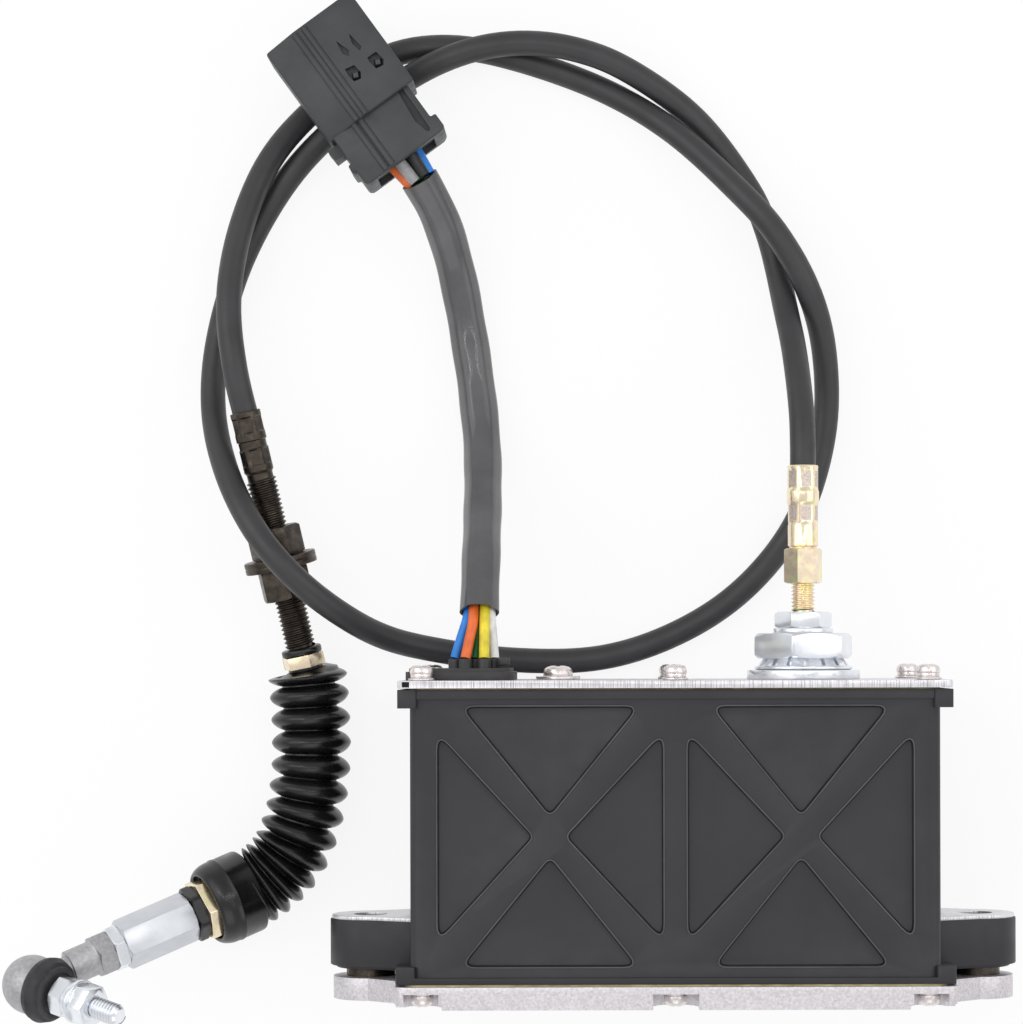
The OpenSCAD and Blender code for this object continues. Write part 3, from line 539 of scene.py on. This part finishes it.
def sleeveSection(setting):
    # run clockwise, so that the wall is laid inwards
    ring = bpy.data.curves.new("sleeveSection", "CURVE")
    ring.dimensions = "2D"
    outline = ring.splines.new("POLY")
    outline.points.add(setting["sides"] - 1)
    outline.use_cyclic_u = True
    for k, point in enumerate(outline.points):
        angle = -math.tau * k / setting["sides"]
        hollow = 0.5 - 0.5 * math.cos(setting["ridges"] * angle + setting["ridgeTurn"])
        reach = (setting["radius"] - setting["ridgeDepth"] * hollow) * mm
        point.co = (reach * math.cos(angle), reach * math.sin(angle), 0, 1)
    return addObject("sleeveSection", ring)


def makeHarness(setting):
    line = restingLine(setting, 2.0)

    def swell(i, count):
        # the two mouths keep their full size
        return 1.0 if i in (0, count - 1) else 1.0 - setting["dent"] * math.sin(i * setting["dentPace"]) ** 2

    section = sleeveSection(setting)
    piece = tubeCurve("harnessSleeve", [line], setting["radius"], swell, section=section)
    wall = piece.modifiers.new("wall", "SOLIDIFY")
    wall.thickness = setting["wall"] * mm
    wall.offset = -1.0
    piece = asMesh(piece)
    bpy.data.objects.remove(section)
    dressCord(piece, "sleeveVinyl", "harness_sleeve")
    print("harness sleeve,", round(lineLength(line)), "mm")
    return piece, line


harnessSleeve, sleeveLine = makeHarness(harness)

# Seven wires: grommet collar to sleeve, and sleeve to connector
wires = {
    "radius": 1.4, "collarFace": 39.6, "mouth": (-52, 52, 40), "mouthBundle": (3.0, 3.75),
    "mouthLean": (-0.9, -0.5), "intoSleeve": (0.0, 4.5, -3.4),
    "plugBundle": 2.9, "plugSpread": 1.35, "plugFace": 21.6, "plugDepth": 29.4, "plugSwell": 1.22,
    # the collar's X and Z, then the turns in the sleeve's mouth and in the plug (None for the middle)
    "ends": {
        "wire_blue": ((-58.4, 42.6), 180, 0), "wire_orange": ((-55.5, 46.0), 120, 180),
        "wire_green": ((-53.0, 42.6), None, None), "wire_yellow": ((-50.5, 46.0), 60, 240),
        "wire_white": ((-48.0, 42.6), 0, 300), "wire_grey": ((-55.6, 39.2), 240, 120),
        "wire_black": ((-50.4, 39.2), 300, 60),
    },
}


def inBundle(turn, wide, tall):
    if turn is None:
        return Vector((0, 0))
    return Vector((wide * math.cos(math.radians(turn)), tall * math.sin(math.radians(turn))))


def makeWires(setting):
    made = []
    spread, (ahead, slope) = setting["plugSpread"], setting["mouthLean"]
    for name, ((collarX, collarZ), mouthTurn, plugTurn) in setting["ends"].items():
        spot = inBundle(mouthTurn, *setting["mouthBundle"])
        collar = Vector((collarX, setting["collarFace"], collarZ))
        mouth = Vector(setting["mouth"]) + Vector((spot.x, ahead + slope * spot.y, spot.y))
        within = mouth + Vector(setting["intoSleeve"])
        caseEnd = smoothLine([collar, collar.lerp(mouth, 0.5), mouth, within], 0.8)
        spot = inBundle(plugTurn, setting["plugBundle"], setting["plugBundle"])
        pin = plugPlace @ Vector((setting["plugFace"], spread * spot.x, spread * spot.y))
        inside = plugPlace @ Vector((setting["plugDepth"], spot.x, spot.y))
        plugEnd = [pin, pin.lerp(inside, 0.3), pin.lerp(inside, 0.7), inside]
        piece = tubeCurve("wire" + name[5:].capitalize() + "Pair", [caseEnd, plugEnd], setting["radius"],
                          lambda i, count: setting["plugSwell"] if count == len(plugEnd) else 1.0)
        dressCord(piece, name, name)
        made.append(piece)
    return made


wirePieces = makeWires(wires)
print("wires made,", len(wirePieces))

# The plug's front shell, with its ridges, spikes and latch windows
plugShell = {
    "wide": 14.2, "tall": 10.0, "shoulder": -4.8, "drop": 2.4, "front": -22.0, "step": 7.9, "soft": 0.7,
    "mouth": [(-12, -7.8), (12, -7.8), (12, 7.2), (-12, 7.2)], "mouthEnd": -5,
    "ridges": [-4.75, -1.75], "ridgeHeight": 9.55, "ridgeRadius": 1.05, "ridgeRun": (-21.1, 7.7),
    "spikeDepth": 1.3, "spikes": [[(-13.0, 3.3), (-8.9, 4.6), (-7.6, 3.7), (-9.0, 2.7)],
                                  [(-12.5, 7.3), (-7.8, 8.0), (-7.0, 7.0), (-9.9, 6.4)]],
    "windowDepth": 2.0,
    "windows": [[(-4.4, 7.5), (-4.3, 10.4), (-1.3, 10.8), (-0.2, 10.0), (-0.5, 7.7), (-3.2, 7.3)],
                [(-5.4, 0.7), (-4.9, 3.4), (-2.2, 3.8), (-0.8, 2.8), (-1.2, 0.8), (-3.4, 0.5)]],
    "catch": {"shift": (0.5, 0.2), "sink": 1.1, "turn": 20, "foot": 1.6, "head": 0.9, "height": 1.8},
}


def prismOn(bm, outline, low, high, place=None):
    # an outline in the XY plane drawn up along Z
    face = bm.faces.new([bm.verts.new((x, y, low)) for x, y in outline])
    made = bmesh.ops.extrude_face_region(bm, geom=[face])["geom"]
    top = [part for part in made if isinstance(part, bmesh.types.BMVert)]
    bmesh.ops.translate(bm, vec=(0, 0, high - low), verts=top)
    if place is not None:
        bmesh.ops.transform(bm, matrix=place, verts=top + list(face.verts))


def barOn(bm, y, z, radius, low, high):
    turn = Matrix.Translation(((low + high) / 2, y, z)) @ turned(90, "Y")
    bmesh.ops.create_cone(bm, cap_ends=True, segments=28, radius1=radius, radius2=radius,
                          depth=high - low, matrix=turn)


def asObject(bm, name):
    mesh = bpy.data.meshes.new(name)
    bm.to_mesh(mesh)
    bm.free()
    return addObject(name, mesh)


def fromMesh(mesh):
    # a bmesh in place of a mesh that is no longer needed
    bm = bmesh.new()
    bm.from_mesh(mesh)
    bpy.data.meshes.remove(mesh)
    return bm


def carved(bm, cutter):
    # what is left of one closed mesh after another is taken out of it
    for solid in (bm, cutter):
        bmesh.ops.recalc_face_normals(solid, faces=solid.faces)
    base, tool = asObject(bm, "carveBase"), asObject(cutter, "carveTool")
    cut = base.modifiers.new("cut", "BOOLEAN")
    cut.operation, cut.solver, cut.object = "DIFFERENCE", "EXACT", tool
    left = fromMesh(bakedMesh(base))
    for made in (base, tool):
        data = made.data
        bpy.data.objects.remove(made)
        bpy.data.meshes.remove(data)
    return left


def softEdges(bm, offset):
    edges = [edge for edge in bm.edges if edge.is_manifold and edge.calc_face_angle(0) > 0.2]
    bmesh.ops.bevel(bm, geom=edges, offset=offset, segments=3, profile=0.5, affect="EDGES",
                    clamp_overlap=True, material=-1)


def makePlugShell(setting):
    wide, tall, shoulder, drop = (setting[key] for key in ("wide", "tall", "shoulder", "drop"))
    proud = tall + 1  # the cutters stand clear of the shell
    upright = Matrix(((0, 0, 1, 0), (1, 0, 0, 0), (0, 1, 0, 0), (0, 0, 0, 1)))
    bm = bmesh.new()
    prismOn(bm, [(-wide, -tall), (wide, -tall), (wide, tall), (shoulder, tall), (-wide, tall - drop)],
            setting["front"], setting["step"], upright)
    softEdges(bm, setting["soft"])
    cutter = bmesh.new()
    prismOn(cutter, setting["mouth"], setting["front"] - 1, setting["mouthEnd"], upright)
    for outline in setting["spikes"]:
        prismOn(cutter, outline, tall - setting["spikeDepth"], proud)
    for outline in setting["windows"]:
        prismOn(cutter, outline, tall - setting["windowDepth"], proud)
    bm = carved(bm, cutter)
    catch = setting["catch"]
    for outline in setting["windows"]:
        # the catch that stands in each window
        x, y = (sum(point[k] for point in outline) / len(outline) + catch["shift"][k] for k in range(2))
        stand = Matrix.Translation((x, y, tall - catch["sink"])) @ turned(catch["turn"], "Z")
        bmesh.ops.create_cone(bm, cap_ends=True, segments=4, radius1=catch["foot"], radius2=catch["head"],
                              depth=catch["height"], matrix=stand)
    for y in setting["ridges"]:
        barOn(bm, y, setting["ridgeHeight"], setting["ridgeRadius"], *setting["ridgeRun"])
    finishPiece(bm, "plugShell", "plugBlack", place=plugPlace, replaced=["connector_body"],
                sharp=35, weld=False)


makePlugShell(plugShell)

# The tail behind it, where the wires come out
plugTail = {
    "outline": [(7.3, -12.9), (16.0, -12.9), (16.0, -14.1), (18.6, -14.1), (18.6, -13.1), (22.6, -13.1),
                (23.4, -12.2), (23.4, 12.2), (22.6, 13.6), (18.4, 13.6), (18.4, 12.0), (7.3, 12.0)],
    "heights": (-8.6, 8.5), "soft": 0.5,
    "ridges": [-6.1, -4.0], "ridgeHeight": 8.1, "ridgeRadius": 1.05, "ridgeRun": (7.5, 22.9),
    "slot": [(7.0, 8.9), (7.0, 10.4), (20.9, 10.1), (21.5, 9.4), (20.9, 8.8), (17.0, 7.9)],
    "slotHeights": (6.6, 10),
    "wireMouth": [(21.8, -9.5), (24.4, -9.5), (24.4, 9.5), (21.8, 9.5)], "wireMouthHeights": (-6.2, 6.2),
    "latch": [(8.8, -16.1), (12.2, -15.9), (12.2, -12.5), (8.8, -12.5)], "latchHeights": (-4, 4),
}


def makePlugTail(setting):
    bm = bmesh.new()
    prismOn(bm, setting["outline"], *setting["heights"])
    softEdges(bm, setting["soft"])
    cutter = bmesh.new()
    prismOn(cutter, setting["slot"], *setting["slotHeights"])
    prismOn(cutter, setting["wireMouth"], *setting["wireMouthHeights"])
    bm = carved(bm, cutter)
    prismOn(bm, setting["latch"], *setting["latchHeights"])
    for y in setting["ridges"]:
        barOn(bm, y, setting["ridgeHeight"], setting["ridgeRadius"], *setting["ridgeRun"])
    finishPiece(bm, "plugTail", "plugBlack", place=plugPlace, replaced=["connector_cover"],
                sharp=35, weld=False)


makePlugTail(plugTail)
print("plug made")
lineLength(sleeveLine) * mm
[tuple(point * mm) for point in sleeveLine]

# The rubber boot: folds between the bracket sleeve and its collar on the rod
boot = {
    "route": [(-100.2, 23, 11), (-100.2, 9.7, 11), (-101.9, -2.8, 11), (-105.6, -13.4, 11),
              (-110.4, -19.7, 11.2), (-115.5, -23.6, 11.7)],
    "routeEnds": (73, 75.4, -13.1),  # two places on the bracket sleeve's axis, one on the rod's
    "run": (0.8, 7.3), "steps": 420,  # counted in stretches of the route
    "peak": 11.0, "root": 7.4, "crestWidth": 0.93, "crestBend": 1.7, "crestBlunt": 0.72,
    "closeFrom": 5.6, "closeOver": 1.7, "closeBend": 0.7, "closeRise": 1.5, "floorGap": 0.05,
    # (height, radius): the neck's along the bracket sleeve, the collar's along the rod
    "neck": [(67.02, 5.1), (67.2, 5.45), (67.5, 5.6), (68.6, 5.6), (68.85, 5.4), (68.98, 4.8), (73.1, 4.8),
             (73.4, 6.2)],
    "collar": [(-13.05, 8.4), (-13.02, 10.9), (-12.85, 11.5), (-12.4, 11.75), (-11.8, 11.8), (-9.2, 11.75),
               (-9.0, 11.92), (-8.6, 11.92), (-8.4, 11.7), (-7.2, 11.65), (-6.4, 11.5), (-5.7, 11.25),
               (-5.2, 10.9), (-4.95, 10.2), (-4.85, 9.2), (-4.8, 7.05), (-0.4, 7.0), (-0.3, 6.9),
               (1.8, 6.9), (2.0, 6.7)],
}


def foldRadius(setting, at):
    # two folds to each stretch of the route, each a ridge with a broad round crest
    off = abs((2 * at + 0.5) % 1.0 - 0.5) * 2
    crest = max(0.0, 1 - (off / setting["crestWidth"]) ** setting["crestBend"]) ** setting["crestBlunt"]
    # the last folds close up and run into the collar
    closing = max(0.0, (at - setting["closeFrom"]) / setting["closeOver"]) ** setting["closeBend"]
    root = setting["root"] + setting["closeRise"] * closing
    return root + (setting["peak"] - root) * crest


def makeBoot(setting):
    first, second, last = setting["routeEnds"]
    route = [fitPlace @ Vector((0, 0, first)), fitPlace @ Vector((0, 0, second))] \
        + [Vector(p) for p in setting["route"]] + [rodPlace @ Vector((0, 0, last))]
    line = [fitPlace @ Vector((0, 0, at)) for at, _ in setting["neck"]]
    radii = [r for _, r in setting["neck"]]
    start, end = setting["run"]
    for k in range(setting["steps"] + 1):
        at = start + (end - start) * k / setting["steps"]
        i = min(int(at), len(route) - 2)
        line.append(splineAt(route, i, at - i))
        radii.append(foldRadius(setting, at))
    line += [rodPlace @ Vector((0, 0, at)) for at, _ in setting["collar"]]
    radii += [r for _, r in setting["collar"]]
    curve = tubeCurve("bootCurve", [line], 1.0, lambda i, count: radii[i], roundness=12)
    bm = fromMesh(bakedMesh(curve))
    bpy.data.objects.remove(curve)
    bmesh.ops.scale(bm, vec=(1 / mm, 1 / mm, 1 / mm), verts=bm.verts)
    for vert in bm.verts:
        vert.co.z = max(vert.co.z, setting["floorGap"])
    piece = finishPiece(bm, "rubberBoot", "bootRubber", body=None, replaced=["boot"],
                        sharp=50)
    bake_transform(piece)
    print("boot,", len(piece.data.polygons), "faces")


makeBoot(boot)

# The collar's round shoulder reaches over the lower clamp's edge
bootShoulder = {
    "section": [(9.2, -6.6), (9.2, -3.6), (9.35, -3.15), (9.7, -2.95), (10.15, -3.1), (10.6, -3.5),
                (11.0, -4.1), (11.35, -4.9), (11.62, -5.8), (11.76, -6.8), (11.8, -8.4), (11.97, -8.6),
                (11.97, -9.0), (11.82, -9.2), (11.84, -15.2), (11.7, -15.7), (11.3, -16.0), (9.8, -16.05),
                (9.2, -15.6)],
}
ringPiece(bootShoulder["section"], "bootShoulder", "bootRubber", "slider", rodPlace)

# Past the clamp, the boot ends in a hexagonal lip on the coupling
bootLip = {
    "hexagon": {"flats": 14.0, "low": -0.4, "high": 2.5, "bore": 6.3, "lean": 25, "corner": 0.97}, "turn": 30,
}


def makeBootLip(setting):
    bm = bmesh.new()
    stackRings(bm, hexRings(**setting["hexagon"]), 72)
    finishPiece(bm, "bootLip", "bootRubber", body="slider",
                place=rodPlace @ turned(setting["turn"], "Z"), sharp=30)


makeBootLip(bootLip)

# The yellow-plated ferrule on the gland: stud, hexagon, body and two crimps
goldFerrule = {
    "thread": {"crest": 3.2, "depth": 0.55, "pitch": 1.0, "low": 15.6, "high": 24.1},
    "core": (2.5, 0.1, 23.9), "hex": (9.2, 23.7, 33.2),
    "body": [(pole, 33.0), (3.6, 33.0), (3.7, 33.6), (4.1, 33.9), (4.1, 39.4), (3.95, 39.9)],
    "firstCrimp": (7.4, 40.5, 44.9),
    "band": [(4.25, 45.5), (4.35, 45.8), (4.35, 48.6), (4.2, 49.0)],
    "secondCrimp": (7.6, 49.7, 54.3),
    "mouth": [(4.15, 55.0), (4.2, 55.4), (4.0, 55.7), (3.6, 55.7), (3.55, 55.4), (3.55, 53.7), (pole, 53.7)],
}


def makeGoldFerrule(setting):
    bm = bmesh.new()
    threadOn(bm, **setting["thread"])
    stackRings(bm, rodRings(*setting["core"]), 32)
    stackRings(bm, hexRings(*setting["hex"]), 72)
    stackRings(bm, setting["body"] + crimpRings(*setting["firstCrimp"]) + setting["band"]
               + crimpRings(*setting["secondCrimp"]) + setting["mouth"], 72)
    finishPiece(bm, "goldFerrule", "yellowZinc", place=ferrulePlace,
                replaced=["cable_ferrule"], sharp=20)


makeGoldFerrule(goldFerrule)

# Pale pads where the crimping tool pressed the ferrule
ferrulePads = {
    "rows": [(7.4, 40.8, 44.7), (7.6, 49.9, 54.2)],  # the crimp's flats, then the pads' two ends
    "thick": 0.3, "wide": 2.7, "sink": 0.07,
}


def makeFerrulePads(setting):
    bm = bmesh.new()
    for flats, low, high in setting["rows"]:
        for k in range(6):
            pad = bmesh.ops.create_cube(bm, size=1.0)["verts"]
            bmesh.ops.scale(bm, vec=(setting["thick"], setting["wide"], high - low), verts=pad)
            bmesh.ops.translate(bm, vec=(flats / 2 - setting["sink"], 0, (low + high) / 2), verts=pad)
            bmesh.ops.rotate(bm, matrix=Matrix.Rotation(math.tau * (k + 0.5) / 6, 3, "Z"), verts=pad)
    finishPiece(bm, "ferrulePads", "padZinc", place=ferrulePlace, sharp=20)


makeFerrulePads(ferrulePads)
print("gold ferrule made")

# The dark bracket sleeve at the cable's other end: crimps, then an M8 thread
darkSleeve = {
    "mouth": [(pole, 1.0), (3.55, 1.0), (3.55, 0.1), (4.05, 0.0), (4.2, 0.2), (4.2, 1.4)],
    "firstCrimp": (7.3, 1.9, 5.6),
    "band": [(4.2, 6.1), (4.2, 8.0), (3.85, 8.3), (3.85, 10.2), (4.1, 10.5)],
    "secondCrimp": (7.3, 10.9, 14.6),
    "end": [(4.1, 15.1), (4.1, 16.6), (3.6, 17.4), (3.6, 19.2), (pole, 19.2)],
    "thread": {"crest": 4.2, "depth": 0.62, "pitch": 1.25, "low": 18.6, "high": 66.9},
    "core": (3.42, 18.0, 66.9),
}


def makeDarkSleeve(setting):
    bm = bmesh.new()
    stackRings(bm, setting["mouth"] + crimpRings(*setting["firstCrimp"]) + setting["band"]
               + crimpRings(*setting["secondCrimp"]) + setting["end"], 72)
    threadOn(bm, **setting["thread"])
    stackRings(bm, rodRings(*setting["core"]), 32)
    finishPiece(bm, "darkSleeve", "oiledSteel", place=fitPlace, replaced=["end_sleeve"],
                sharp=24)
    print("dark sleeve made")


makeDarkSleeve(darkSleeve)
lineLength(cableLine) * mm

# The lever's ball stud
leverStud = {
    "thread": {"crest": 3.0, "depth": 0.58, "pitch": 1.0, "low": 22.9, "high": 31.2},
    "shank": [(pole, 14.6), (2.43, 14.6), (2.43, 31.2), (2.5, 31.4), (1.9, 31.98), (pole, 31.98)],
    "hex": (10, 10.6, 15.0), "neck": (2.2, 3.0, 10.8), "ball": 4.5,
}


def makeLeverStud(setting):
    bm = bmesh.new()
    threadOn(bm, **setting["thread"])
    stackRings(bm, setting["shank"], 32)
    stackRings(bm, hexRings(*setting["hex"]), 72)
    stackRings(bm, rodRings(*setting["neck"]), 32)
    bmesh.ops.create_uvsphere(bm, u_segments=32, v_segments=20, radius=setting["ball"])
    finishPiece(bm, "leverStud", "brightZinc", body="stud", place=studPlace,
                replaced=["ball_stud"], sharp=24)


makeLeverStud(leverStud)

# The step inside the dust cover, round the stud's neck
coverStep = {
    "section": [(5.6, 8.9), (5.6, 9.5), (5.8, 9.72), (6.6, 9.75), (7.0, 9.6), (7.2, 9.2), (7.3, 8.2),
                (6.6, 8.1)],
}
ringPiece(coverStep["section"], "coverStep", "coverRubber", "cover", studPlace)
print("lever stud made")

# The case's pockets between the ribs: a raised lip stands round each, coloured lighter than the case as a
# painted highlight, and a dark line of painted shade runs on its floor
caseLips = {
    "pockets": [[(9.5, 27), (32.8, -1.6), (56, 27)], [(9.9, -41), (56.1, -41), (32.8, -12.4)],
                [(3.2, -34.4), (28.6, -7), (3.2, 20.2)], [(62.2, -34.4), (62.2, 20.2), (37.2, -7)]],
    "pocketRadius": 1.8, "lipBevel": 0.09,
    # name, finish, outward, width, base height, thickness
    # the first line's lighter tone is a painted highlight, the second line is painted shade
    "lines": [("caseLips", "lipPaintedHighlight", True, 0.38, 62.0, 0.2),
              ("casePaintedShadeLines", "paintedShadeBlack", False, 0.42, 60.7, 0.06)],
}


def softOutline(points, radius):
    # the rounded corners of the part's source; each takes less than half of its sides
    made = []
    for i, point in enumerate(points):
        here = Vector(point)
        before, after = Vector(points[i - 1]) - here, Vector(points[(i + 1) % len(points)]) - here
        reach = min(radius / math.tan(before.angle(after) / 2), before.length / 2.2, after.length / 2.2)
        first, last = here + before.normalized() * reach, here + after.normalized() * reach
        for t in (0, 0.2, 0.4, 0.6, 0.8, 1.0):
            made.append((1 - t) ** 2 * first + 2 * t * (1 - t) * here + t * t * last)
    return made


def rimOn(bm, outline, width, height):
    # a raised line along an outline, outside it where the width is negative
    face = bm.faces.new([bm.verts.new((p.x, p.y, 0)) for p in outline])
    face.normal_update()
    if face.normal.z < 0:
        bmesh.ops.reverse_faces(bm, faces=[face])
    rim = bmesh.ops.inset_region(bm, faces=[face], thickness=width, use_even_offset=True,
                                 use_boundary=True)["faces"]
    bmesh.ops.delete(bm, geom=[face], context="FACES")
    walls = bmesh.ops.extrude_face_region(bm, geom=rim)["geom"]
    top = [part for part in walls if isinstance(part, bmesh.types.BMVert)]
    bmesh.ops.translate(bm, vec=(0, 0, height), verts=top)


def makeCaseLips(setting):
    pockets = setting["pockets"] + [[(-x, y) for x, y in reversed(shape)] for shape in setting["pockets"]]
    for name, finish, outward, width, base, height in setting["lines"]:
        bm = bmesh.new()
        for shape in pockets:
            rimOn(bm, softOutline(shape, setting["pocketRadius"]), -width if outward else width, height)
        if outward:
            crest = [edge for edge in bm.edges if edge.calc_face_angle(0) > 0.5
                     and edge.verts[0].co.z + edge.verts[1].co.z > height]
            bmesh.ops.bevel(bm, geom=crest, offset=setting["lipBevel"], segments=2, profile=0.5,
                            affect="EDGES", material=-1)
        bmesh.ops.translate(bm, vec=(0, 0, base), verts=bm.verts)
        finishPiece(bm, name, finish, sharp=40)
    print("pocket lines made")


makeCaseLips(caseLips)

# A thin dark sheet at the lid's left end: painted shade on the notch's floor
lidNotch = {"middle": (-70.25, 32.80, 63.55), "size": (1.86, 1.36, 0.2)}


def makeLidNotch(setting):
    bm = bmesh.new()
    bmesh.ops.create_cube(bm, size=1.0)
    bmesh.ops.scale(bm, vec=setting["size"], verts=bm.verts)
    bmesh.ops.translate(bm, vec=setting["middle"], verts=bm.verts)
    finishPiece(bm, "lidNotch", "paintedShadeBlack")


makeLidNotch(lidNotch)

# Carried-over solids: under each finish, its nodes and how far their edges are softened
nodeLooks = {
    "caseBlack": {"housing": 0.35, "mount_blocks": 0.4},
    "lidSheet": {"lid_plate": 0.18, "mount_caps": 0.2, "gear_plate": 0.2},
    "castAluminium": {"base_plate": 0.45},
    "paperGasket": {"lid_gasket": 0, "base_gasket": 0},
    "nickel": {"lid_screws": 0.12, "lid_lock_washers": 0.1, "lid_flat_washers": 0.1, "base_screws": 0.12,
               "base_lock_washers": 0.1, "clip_screw": 0.15, "clip_washer": 0.12},
    "brightZinc": {"gland_body": 0.15, "gland_washer": 0.15, "gland_tooth_washer": 0.15, "gland_nut": 0.15,
                   "gland_seal_washer": 0.15, "cable_lock_nut": 0.15, "jam_nut": 0.2, "neck_ring": 0.1,
                   "stud_lock_washer": 0.15, "stud_flat_washer": 0.15, "stud_nut": 0.15},
    "yellowZinc": {"boot_clamp_upper": 0.2, "boot_clamp_lower": 0.25},
    "oiledSteel": {"mount_sleeves": 0, "bracket_nuts": 0.2, "bracket_washers": 0.15},
    "blastedSteel": {"rod_end": 0.2},
    "grommetBlack": {"wire_grommet": 0.7, "grommet_plug": 0.2},
    "coverRubber": {"dust_cover": 0.25},
    "mattZinc": {"hex_coupling": 0.25},
    "tinnedPin": {"connector_pins": 0.1},
    "plugBlack": {"position_sensor": 0.2},
    "gearNylon": {"idler_gear": 0.1, "drum_gear": 0.1},
    "plainSteel": {"gear_motor": 0.3, "motor_pinion": 0.1, "idler_pin": 0.1, "inner_wire": 0},
}
softening = {"weld": 0.000002, "flatten": 1.0, "edgeAngle": 38}


def shadeTree():
    # smooth faces, with a hard edge where two of them meet at a sharp angle
    tree = bpy.data.node_groups.new("smoothBySharpness", "GeometryNodeTree")
    tree.interface.new_socket(name="Geometry", in_out="INPUT", socket_type="NodeSocketGeometry")
    tree.interface.new_socket(name="Geometry", in_out="OUTPUT", socket_type="NodeSocketGeometry")
    entry, leave = tree.nodes.new("NodeGroupInput"), tree.nodes.new("NodeGroupOutput")
    faces, edges = (tree.nodes.new("GeometryNodeSetShadeSmooth") for _ in range(2))
    faces.domain, edges.domain = "FACE", "EDGE"
    edges.inputs["Shade Smooth"].default_value = False
    angle = tree.nodes.new("GeometryNodeInputMeshEdgeAngle")
    compare = tree.nodes.new("ShaderNodeMath")
    compare.operation = "GREATER_THAN"
    compare.inputs[1].default_value = math.radians(sharpAngle)
    tree.links.new(angle.outputs["Unsigned Angle"], compare.inputs[0])
    tree.links.new(compare.outputs[0], edges.inputs["Selection"])
    tree.links.new(entry.outputs[0], faces.inputs["Geometry"])
    tree.links.new(faces.outputs[0], edges.inputs["Geometry"])
    tree.links.new(edges.outputs[0], leave.inputs[0])
    return tree


def softenNode(node, width, setting, smoothing):
    weld = node.modifiers.new("weld", "WELD")
    weld.merge_threshold = setting["weld"]
    flatten = node.modifiers.new("flatten", "DECIMATE")
    flatten.decimate_type = "DISSOLVE"
    flatten.angle_limit = math.radians(setting["flatten"])
    bevel = node.modifiers.new("edge", "BEVEL")
    bevel.width = width * mm
    bevel.segments = 2
    bevel.limit_method = "ANGLE"
    bevel.angle_limit = math.radians(setting["edgeAngle"])
    smooth = node.modifiers.new("smooth", "NODES")
    smooth.node_group = smoothing


def dressNodes(looks, setting):
    smoothing = shadeTree()
    for finish, nodes in looks.items():
        for name, width in nodes.items():
            node = cadNodes[name]
            if width:
                softenNode(node, width, setting, smoothing)
            node.data.materials.clear()
            node.data.materials.append(finishes[finish])
    print("carried-over solids dressed,", sum(len(nodes) for nodes in looks.values()))


dressNodes(nodeLooks, softening)

# Floor, world and lamps: plain, pale and soft
studio = {
    "floorSize": 3.0, "floorPlace": (0, 0.08, -0.0002), "floorTone": 0.95, "floorLift": 0.88,
    # place, width, height and power; the last two are narrow strips
    "lamps": [((-0.75, 0.35, 0.75), 0.9, 0.9, 2.5), ((0.85, 0.25, 0.75), 0.9, 0.9, 2.1),
              ((0.0, -0.8, 0.8), 0.8, 0.8, 1.5),
              ((-0.30, 0.25, 0.85), 0.03, 0.5, 0.55), ((0.22, 0.25, 0.9), 0.03, 0.5, 0.55)],
    "aim": (-0.03, 0.08, 0.0), "skyTone": (1, 1, 1, 1), "skyStrength": 0.72,
}


def makeFloor(setting):
    # the lens and the reflections see mostly plain white light in place of the paper
    material, tree, shader = startMaterial("floorPaper", 0.9, base=(setting["floorTone"],) * 3 + (1,))
    shader.inputs["Specular IOR Level"].default_value = 0.1
    output = next(n for n in tree.nodes if n.type == "OUTPUT_MATERIAL")
    glow = tree.nodes.new("ShaderNodeEmission")
    rays = tree.nodes.new("ShaderNodeLightPath")
    seen = tree.nodes.new("ShaderNodeMath")
    seen.operation = "MAXIMUM"
    share = tree.nodes.new("ShaderNodeMath")
    share.operation = "MULTIPLY"
    share.inputs[1].default_value = setting["floorLift"]
    mix = tree.nodes.new("ShaderNodeMixShader")
    tree.links.new(rays.outputs["Is Camera Ray"], seen.inputs[0])
    tree.links.new(rays.outputs["Is Glossy Ray"], seen.inputs[1])
    tree.links.new(seen.outputs[0], share.inputs[0])
    tree.links.new(share.outputs[0], mix.inputs["Fac"])
    tree.links.new(shader.outputs["BSDF"], mix.inputs[1])
    tree.links.new(glow.outputs["Emission"], mix.inputs[2])
    tree.links.new(mix.outputs["Shader"], output.inputs["Surface"])
    bm = bmesh.new()
    bmesh.ops.create_grid(bm, x_segments=1, y_segments=1, size=setting["floorSize"] / 2)
    bmesh.ops.translate(bm, vec=setting["floorPlace"], verts=bm.verts)
    floor = asObject(bm, "floor")
    floor.data.materials.append(material)


def makeLamps(setting):
    for i, (place, wide, tall, power) in enumerate(setting["lamps"]):
        data = bpy.data.lights.new("softbox%d" % i, "AREA")
        data.shape = "RECTANGLE"
        data.size, data.size_y = wide, tall
        data.energy = power
        lamp = addObject("softbox%d" % i, data)
        lamp.location = place
        lamp.rotation_euler = (Vector(setting["aim"]) - Vector(place)).to_track_quat("-Z", "Y").to_euler()


def makeSky(setting):
    # the lens sees a plain backdrop past the floor, and all other rays the sky
    world = bpy.data.worlds.new("studio")
    bpy.context.scene.world = world
    world.use_nodes = True
    tree = world.node_tree
    tree.nodes.clear()
    sky = tree.nodes.new("ShaderNodeBackground")
    sky.inputs["Color"].default_value = setting["skyTone"]
    sky.inputs["Strength"].default_value = setting["skyStrength"]
    backdrop = tree.nodes.new("ShaderNodeBackground")
    rays = tree.nodes.new("ShaderNodeLightPath")
    mix = tree.nodes.new("ShaderNodeMixShader")
    output = tree.nodes.new("ShaderNodeOutputWorld")
    tree.links.new(rays.outputs["Is Camera Ray"], mix.inputs["Fac"])
    tree.links.new(sky.outputs["Background"], mix.inputs[1])
    tree.links.new(backdrop.outputs["Background"], mix.inputs[2])
    tree.links.new(mix.outputs["Shader"], output.inputs["Surface"])


makeFloor(studio)
makeLamps(studio)
makeSky(studio)
print("studio made")
